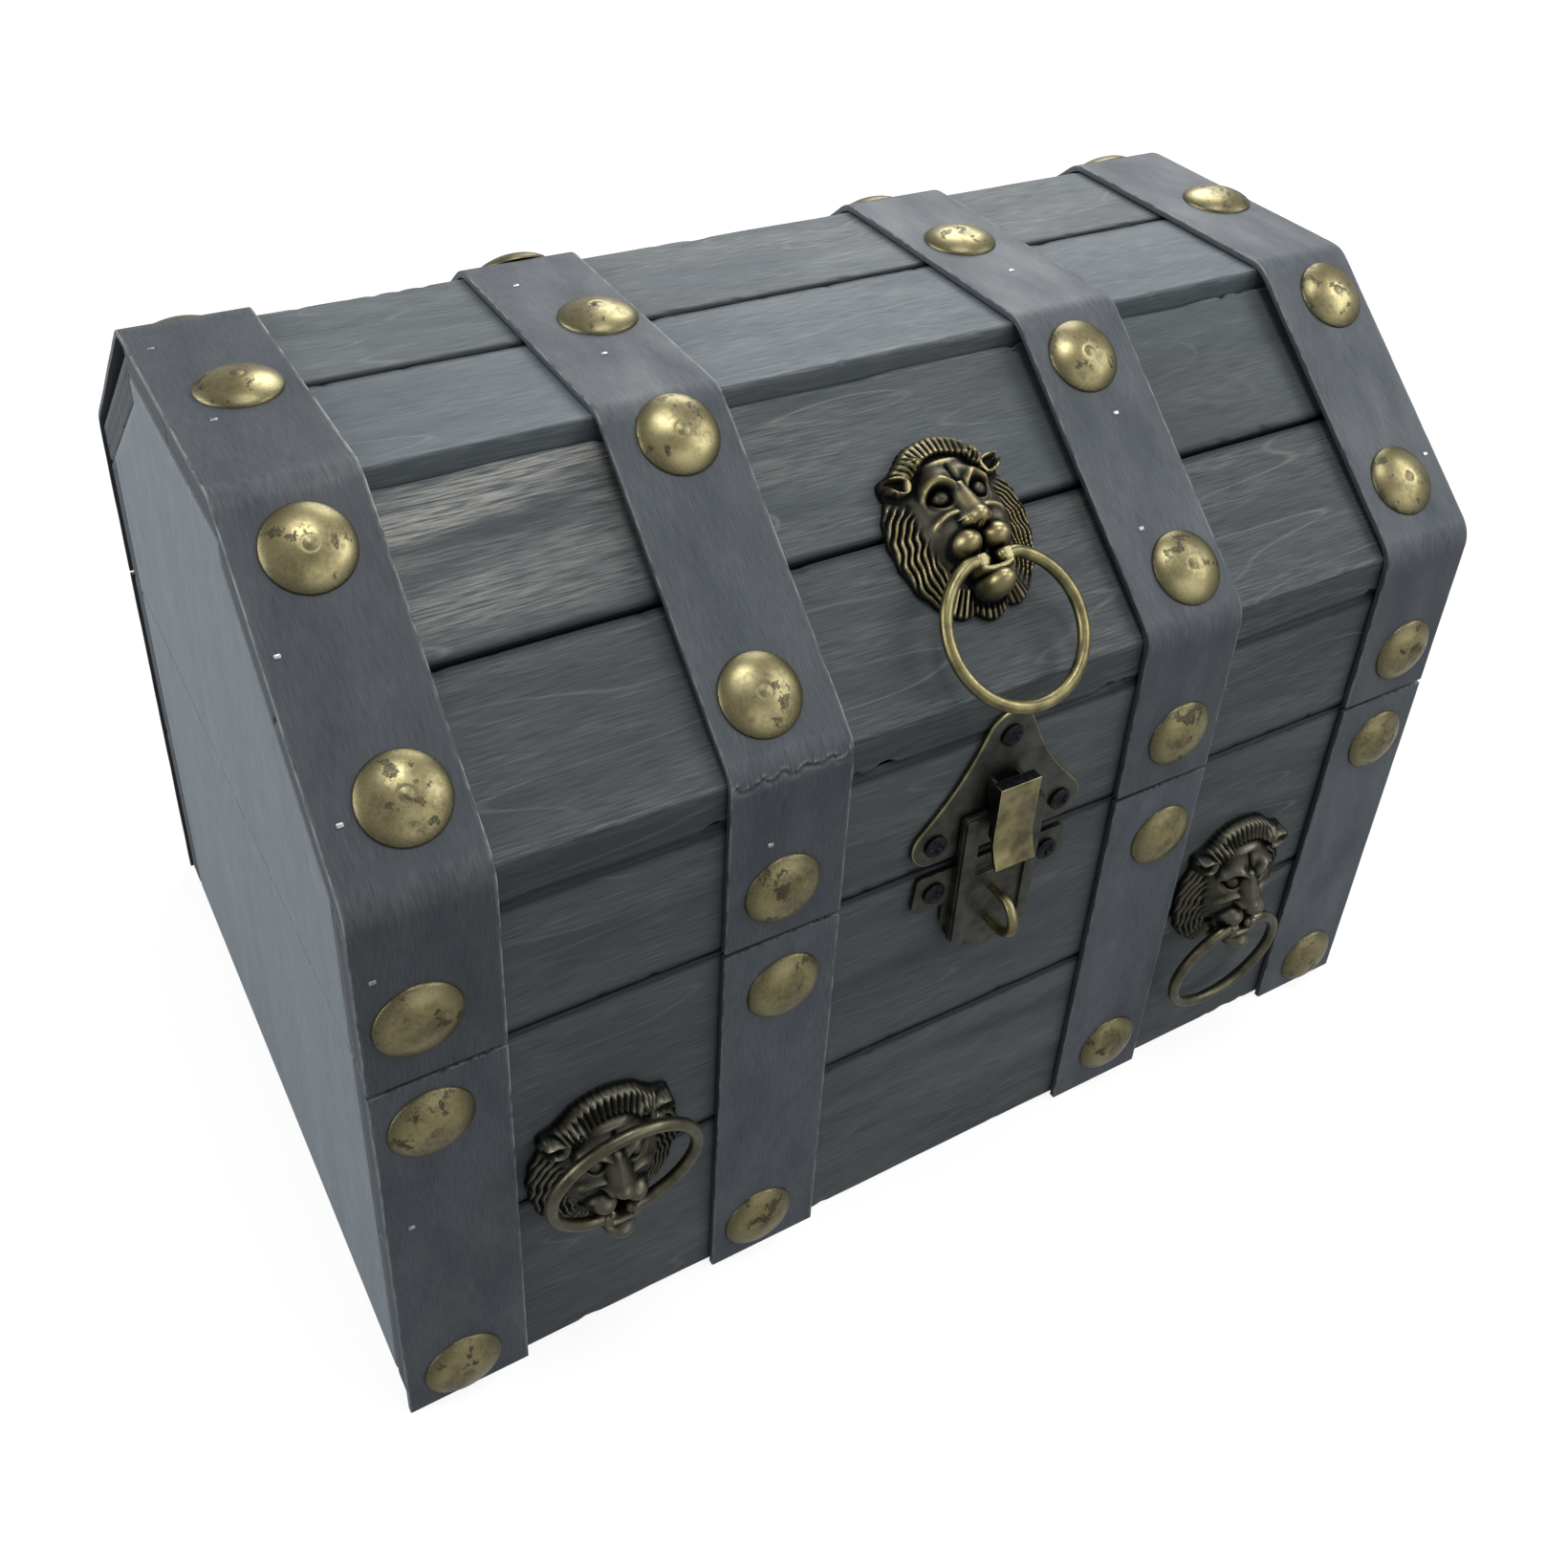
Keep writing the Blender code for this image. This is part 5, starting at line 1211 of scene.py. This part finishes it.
def block(low, high):
    """Box between two corners, in mm."""
    return slab([low[:2], (high[0], low[1]), high[:2], (low[0], high[1])], low[2], high[2])


def shaped(first, others, operation):
    """Union or difference of a mesh with others, one after another."""
    for other in others:
        helper = linked("helper", other)
        first = evaluated(first, "BOOLEAN", operation=operation, object=helper, solver="EXACT")
        bpy.data.objects.remove(helper)
    return first


def eased(mesh, amount, edge_finish):
    """Mesh with its edges eased and given a finish of their own, by number."""
    for _ in range(edge_finish + 1):
        mesh.materials.append(None)
    return evaluated(mesh, "BEVEL", width=amount, segments=3, limit_method="ANGLE",
                     angle_limit=math.radians(28), material=edge_finish)


def merged(meshes):
    """One mesh that holds several, with their finishes."""
    body = bmesh.new()
    for mesh in meshes:
        body.from_mesh(mesh)
    return mesh_of(body, "merged")


def arc(centre, radius, start, end, steps):
    """Points of an arc, angles in degrees."""
    angles = np.radians(np.linspace(start, end, steps + 1))
    return [(centre[0] + radius * math.cos(a), centre[1] + radius * math.sin(a)) for a in angles]


def rounded(corners, radii):
    """Outline with each corner rounded by its own radius."""
    corners = np.asarray(corners, float)
    ring = section_ring(corners, np.asarray(radii, float), 0.0, 8).reshape(len(corners), -1, 2)
    return [tuple(point) for corner in ring[:, 1:-1] for point in corner]


def mirrored(outline):
    """Outline seen from behind, still anticlockwise."""
    return [(-x, y) for x, y in reversed(outline)]


# frame of the latch on the boards, at the seam; the places on it are in mm
LATCH = wall(middle("latch_pin").x, SEAM_Z, -1, BOARD_Y + SEAT)
PIN_Y = 21.8
PIN_H = 4.2
PLATE_TOP = (0, 35.3)
PLATE_FOOT = (18.1, 8.7)


def plate_mesh(latch):
    """Lid plate: three lobes joined by slightly hollow sides, and two ears that hold the pin."""
    top = arc(PLATE_TOP, 6.8, 24, 156, 20)
    right = arc(PLATE_FOOT, 6.2, -90, 40, 20)
    left = mirrored(right)
    start, end = np.array(top[-1]), np.array(left[0])
    inward = np.array((start[1] - end[1], end[0] - start[0])) / np.linalg.norm(end - start)
    shares = np.linspace(0, 1, 14)[1:-1]
    side = [tuple(start + (end - start) * t + inward * 1.6 * math.sin(math.pi * t)) for t in shares]
    flat = slab(top + side + left + right + mirrored(side), 0, 1.2)
    tip = arc((PIN_H, PIN_Y), 1.6, -90, 90, 10) + [(0.6, PIN_Y + 1.6), (0.6, PIN_Y - 1.6)]
    ears = [upright(tip, x, x + 1.0) for x in (3.2, -4.2)]
    return merged([eased(flat, latch.edge_round * 1.6, 1)] + ears)


def lever_mesh(latch):
    """Lever: a strip folded over the pin, with a bright front that flares to a lip, and two cheeks; all its
    faces but the front and the eased edges are blackened steel, as painted shade.
    """
    web = [(4.2, 25.1), (4.2, 24.1), (6.3, 24.1), (6.3, 16.0), (6.25, 12.4), (6.3, 8.0), (7.2, 5.0),
           (8.7, 2.1), (9.7, 2.1), (8.2, 5.3), (7.3, 8.4), (7.2, 12.4), (7.3, 16.0), (7.3, 25.1)]
    cheek = [(4.4, 24.6), (2.6, 22.6), (2.6, 21.0), (4.0, 14.0), (4.6, 13.2), (4.6, 9.6), (6.7, 8.2),
             (6.7, 24.6)]
    half = 5.7
    others = [upright(cheek, half - 1.2, half - 0.2), upright(cheek, 0.2 - half, 1.2 - half),
              block((-2.85, 9.0, 4.3), (2.85, 12.0, 6.8))]
    mesh = eased(shaped(upright(web, -half, half), others, "UNION"), latch.edge_round, 2)
    # painted shade: the faces other than the front, which show dark, are given blackened steel
    for polygon in mesh.polygons:
        if polygon.material_index == 0 and polygon.normal.z < 0.5:
            polygon.material_index = 1
    mesh.transform(Matrix.Translation((0, -PIN_Y * MM, -PIN_H * MM)))
    return mesh


def strike_mesh(latch):
    """Strike: a winged base on the box and a railed channel in front of the lid plate, with a window."""
    base = rounded([(-22.7, -12.4), (22.7, -12.4), (21.6, -1.2), (-21.6, -1.2)], [2.6, 2.6, 1.6, 1.6])
    foot = rounded([(-13.2, -21.2), (13.2, -21.2), (13.2, -12), (-13.2, -12)], [3.8, 3.8, 1, 1])
    channel = rounded([(-11.5, -24.5), (-2.2, -30.2), (2.2, -30.2), (11.5, -24.5), (11.5, 15), (-11.5, 15)],
                      [2.0, 2.2, 2.2, 2.0, 1.0, 1.0])
    neck = rounded([(-11.2, -24.3), (-2.0, -29.8), (2.0, -29.8), (11.2, -24.3), (11.2, -1.3), (-11.2, -1.3)],
                   [2.0, 2.0, 2.0, 2.0, 0.5, 0.5])
    rail = rounded([(-11.3, -24.0), (-8.1, -25.6), (-8.1, 14.8), (-11.3, 14.8)], [0.8] * 4)
    others = [slab(foot, 0, 1.08), slab(neck, 0.2, 2.5), slab(channel, 1.8, 3.2), slab(rail, 2.6, 4.2),
              slab(mirrored(rail), 2.6, 4.2)]
    body = shaped(slab(base, 0, 1.2), others, "UNION")
    body = shaped(body, [block((-6.5, -4.9, 1.2), (6.5, 10.0, 6))], "DIFFERENCE")
    return eased(body, latch.edge_round, 1)


def rod_shell(half, diameter, rows):
    """Straight rod along X with domed ends."""
    return wire_shell([(x, 0, 0) for x in np.linspace(-half, half, rows)], (0, 0, 1), diameter)


class CHEST_OT_latch(bpy.types.Operator):
    """Lever latch: plate, lever and pin on the lid, strike and padlock eye on the box, and their screws"""
    bl_idname = "chest.latch"
    bl_label = "Latch"

    def execute(self, context):
        latch = context.scene.chest_latch
        brass = antiqued_brass("antiqued_brass_sheet", latch.brass, linear("393a36"), 0.4)
        rubbed = antiqued_brass("rubbed_brass", latch.rubbed, linear("5e5943"), 0.34)
        bright = antiqued_brass("bright_brass_edge", linear("cabf92"), latch.rubbed, 0.32)
        black = plain_steel("blackened_steel", latch.black, linear("2e3236"), 0.42)
        pivot = LATCH @ Matrix.Translation((0, PIN_Y * MM, PIN_H * MM))
        path = [(0, -21.3, 0.3), *[(0, y, z) for y, z in arc((-16.0, 6.9), 5.3, 180, 0, 24)], (0, -10.7, 0.3)]
        eye = wire_shell(smoothed(np.array(path) * MM, 0.5 * MM, 0.8 * MM), (1, 0, 0), 2.6 * MM)
        pin = rod_shell(5.1 * MM, 1.6 * MM, 6)
        for node, form, mesh, finishes, body, place in (
                ("latch_plate", "sheet", plate_mesh(latch), [brass, rubbed], "lid", LATCH),
                ("latch_lever", "strip", lever_mesh(latch), [rubbed, black, bright], "lever", pivot),
                ("latch_pin", "rod", skin("latch_pin", pin), [black], "lid", pivot),
                ("latch_strike", "sheet", strike_mesh(latch), [brass, rubbed], "box", LATCH),
                ("padlock_eye", "wire", skin("eye", eye), [rubbed], "box", LATCH)):
            stand(f"{node}_{form}", mesh, finishes, body, [node], place)
        screw = skin("latch_screw", screw_shell(3.0 * MM, 0.9 * MM, 1.2 * MM, 7.0 * MM))
        places = {"latch_plate_screw_top": PLATE_TOP, "latch_plate_screw_left": mirrored([PLATE_FOOT])[0],
                  "latch_plate_screw_right": PLATE_FOOT, "latch_strike_screw_left": (-16.7, -7.1),
                  "latch_strike_screw_right": (16.7, -7.1)}
        for k, (node, (x, y)) in enumerate(places.items()):
            turn = Matrix.Rotation(0.5 + k * 0.9, 4, "Z")
            place = LATCH @ Matrix.Translation((x * MM, y * MM, 1.5 * MM)) @ turn
            body = "lid" if "plate" in node else "box"
            stand(f"{node}_head", screw.copy(), [black], body, [node], place)
        return {"FINISHED"}


def knuckle_mesh(low, high, sign):
    """Rolled knuckle: the leaf's tongue curled round the pin, with eased ends, in mm."""
    outer, inner, ease, columns = 2.4, 1.2, 0.2, 40
    turn = turns(columns)
    rows = []
    for x, r in ((low, inner), (low, outer - ease), (low + ease, outer), (high - ease, outer),
                 (high, outer - ease), (high, inner)):
        rows.append(np.column_stack((np.full(columns, x), r * np.cos(turn), r * np.sin(turn))))
    points = np.concatenate(rows) * MM
    # the faces after the last row join it to the first, as the bore
    faces = [tuple(i % len(points) for i in face) for face in grid(len(rows) + 1, columns)]
    y_low, y_high = sorted((0.0, sign * 3.4))
    return merged([skin("knuckle", Shell(points, faces)), block((low, y_low, -2.4), (high, y_high, -1.25))])


class CHEST_OT_hinges(bpy.types.Operator):
    """Two butt hinges on the rear boards"""
    bl_idname = "chest.hinges"
    bl_label = "Hinges"

    def execute(self, context):
        latch = context.scene.chest_latch
        black = bpy.data.materials["blackened_steel"]
        worn = plain_steel("worn_black_edge", linear("3f4447"), latch.black, 0.4)
        screw = screw_shell(2.5 * MM, 1.0 * MM, 1.1 * MM, 7.0 * MM)
        pin = rod_shell(15.4 * MM, 2.2 * MM, 8)
        leaf = rounded([(-16, 2.8), (16, 2.8), (16, 16.5), (-16, 16.5)], [0.5, 0.5, 2.2, 2.2])
        spans = {"lid": [(-4.9, 4.9)], "box": [(-16, -5.34), (5.34, 16)]}
        for x, name in ((-HINGE_X, "left"), (HINGE_X, "right")):
            place = wall(x, SEAM_Z, 1, HINGE_Y)
            for sign, body in ((1, "lid"), (-1, "box")):
                pieces = [eased(slab([(u, sign * v) for u, v in leaf], -2.4, -1.2), latch.edge_round, 1)]
                pieces += [knuckle_mesh(low, high, sign) for low, high in spans[body]]
                for u in (-10.0, 10.0):
                    at = Matrix.Translation((u * MM, sign * 10.5 * MM, -1.2 * MM))
                    pieces.append(skin("hinge_screw", screw.moved(at @ Matrix.Rotation(u, 4, "Z"))))
                node = f"{name}_hinge_{body}_leaf"
                stand(f"{node}_steel", merged(pieces), [black, worn], body, [node], place)
            node = f"{name}_hinge_pin"
            stand(f"{node}_rod", skin("hinge_pin", pin), [black], "box", [node], place)
        return {"FINISHED"}


# Stage

# soft boxes: place, width and share of the key light's power
LAMPS = {
    "side_soft_box": ((-1.3, 0.40, 0.30), 1.3, 1.0),
    "overhead_soft_box": ((0.02, -0.18, 1.2), 0.35, 0.14),
    "rear_soft_box": ((0.50, 0.62, 0.85), 0.6, 0.25),
    "front_soft_box": ((0.50, -1.50, 0.45), 1.6, 0.30),
    "right_soft_box": ((0.90, -0.50, 0.90), 0.65, 0.21),
}
LAMP_TARGET = Vector((0, 0, 0.1))
FLOOR_RADIUS = 6.0
FLOOR_DROP = 0.4 * MM
# the camera, fitted to the photograph: its place, and its right, up and backward directions
CAMERA_PLACE = (-0.1976, -0.3227, 0.3880)
CAMERA_TURN = ((0.85574, -0.51383, 0.06076), (0.24566, 0.50685, 0.82629), (-0.45537, -0.69216, 0.55996))
CAMERA_SHIFT = (-0.0221, -0.135)


class CHEST_OT_stage(bpy.types.Operator):
    """Pale floor, soft studio light and the camera"""
    bl_idname = "chest.stage"
    bl_label = "Stage"

    def execute(self, context):
        scene = context.scene
        stage = scene.chest_stage
        scene.view_settings.view_transform = "Standard"
        body = bmesh.new()
        bmesh.ops.create_circle(body, cap_ends=True, segments=96, radius=FLOOR_RADIUS)
        mesh = mesh_of(body, "studio_floor")
        mesh.materials.append(self.paper(stage))
        floor = linked("studio_floor", mesh)
        floor.location.z = -FLOOR_DROP
        self.surround(scene, stage)
        for name, (place, width, share) in LAMPS.items():
            light = bpy.data.lights.new(name, "AREA")
            light.shape = "SQUARE"
            light.size = width
            light.energy = stage.key * share
            lamp = linked(name, light)
            lamp.location = place
            lamp.rotation_euler = (LAMP_TARGET - Vector(place)).to_track_quat("-Z", "Y").to_euler()
        camera = bpy.data.cameras.new("photo_camera")
        camera.sensor_width = 36.0
        camera.lens = stage.lens
        camera.shift_x, camera.shift_y = CAMERA_SHIFT
        camera.clip_start = 0.01
        scene.camera = linked("photo_camera", camera)
        turn = Matrix(CAMERA_TURN).transposed().to_4x4()
        scene.camera.matrix_world = Matrix.Translation(CAMERA_PLACE) @ turn
        return {"FINISHED"}

    def paper(self, stage):
        """Matt white paper sweep: white to the eye, with a soft shadow under the chest."""
        material, tree, shader = new_finish("white_paper", 0.9, specular=0.0)
        speck = add(tree, "TexNoise", {"Scale": 1 / (2 * MM), "Detail": 2.0})
        relief = add(tree, "Bump", {"Strength": 0.03, "Distance": 0.2 * MM, "Height": speck})
        # white from 1.5 m away, where less light falls, so that no horizon shows
        place = add(tree, "TexCoord", out="Object")
        far = add(tree, "VectorMath", (place,), "Value", operation="LENGTH")
        white = add(tree, "MapRange", (far, 0.4, 1.5, 0.86, 1.0))
        camera = add(tree, "LightPath", out="Is Camera Ray")
        glossy = add(tree, "LightPath", out="Is Glossy Ray")
        seen = add(tree, "Math", (camera, white), operation="MULTIPLY")
        glow = add(tree, "Math", (glossy, 0.3, seen), operation="MULTIPLY_ADD")
        add(tree, shader, {"Base Color": linear("7a7a7a"), "Normal": relief, "Emission Color": stage.floor,
                           "Emission Strength": glow})
        return material

    def surround(self, scene, stage):
        """White all round for the eye, and a dimmer soft light for everything else."""
        scene.world = bpy.data.worlds.new("studio")
        scene.world.use_nodes = True
        tree = scene.world.node_tree
        tree.nodes.clear()
        camera = add(tree, "LightPath", out="Is Camera Ray")
        glossy = add(tree, "LightPath", out="Is Glossy Ray")
        seen = add(tree, "Math", (glossy, 0.28, camera), operation="MULTIPLY_ADD")
        level = add(tree, "MapRange", {0: seen, 3: stage.sky, 4: 1.0})
        light = add(tree, "Background", {"Color": stage.floor, "Strength": level})
        add(tree, "OutputWorld", {"Surface": light})


OPERATORS = (CHEST_OT_boards, CHEST_OT_bands, CHEST_OT_studs, CHEST_OT_masks, CHEST_OT_rings, CHEST_OT_latch,
             CHEST_OT_hinges, CHEST_OT_stage)


class CHEST_PT_sidebar(bpy.types.Panel):
    """Lists the chest's pieces with their sizes and colours"""
    bl_idname = "CHEST_PT_sidebar"
    bl_label = "Treasure chest"
    bl_space_type = "VIEW_3D"
    bl_region_type = "UI"
    bl_category = "Chest"

    def draw(self, context):
        for operator in OPERATORS:
            self.layout.operator(operator.bl_idname)
        for name, group in SETTINGS.items():
            box = self.layout.box()
            for setting in group.__annotations__:
                box.prop(getattr(context.scene, name), setting)


def register():
    for item in (*SETTINGS.values(), *OPERATORS, CHEST_PT_sidebar):
        bpy.utils.register_class(item)
    for name, group in SETTINGS.items():
        setattr(bpy.types.Scene, name, PointerProperty(type=group))


def unregister():
    for name in SETTINGS:
        delattr(bpy.types.Scene, name)
    for item in (CHEST_PT_sidebar, *reversed(OPERATORS), *reversed(SETTINGS.values())):
        bpy.utils.unregister_class(item)


def main():
    register()
    bpy.ops.chest.boards()
    bpy.ops.chest.bands()
    bpy.ops.chest.studs()
    bpy.ops.chest.masks()
    bpy.ops.chest.rings()
    bpy.ops.chest.latch()
    bpy.ops.chest.hinges()
    bpy.ops.chest.stage()


if __name__ == "__main__":
    main()
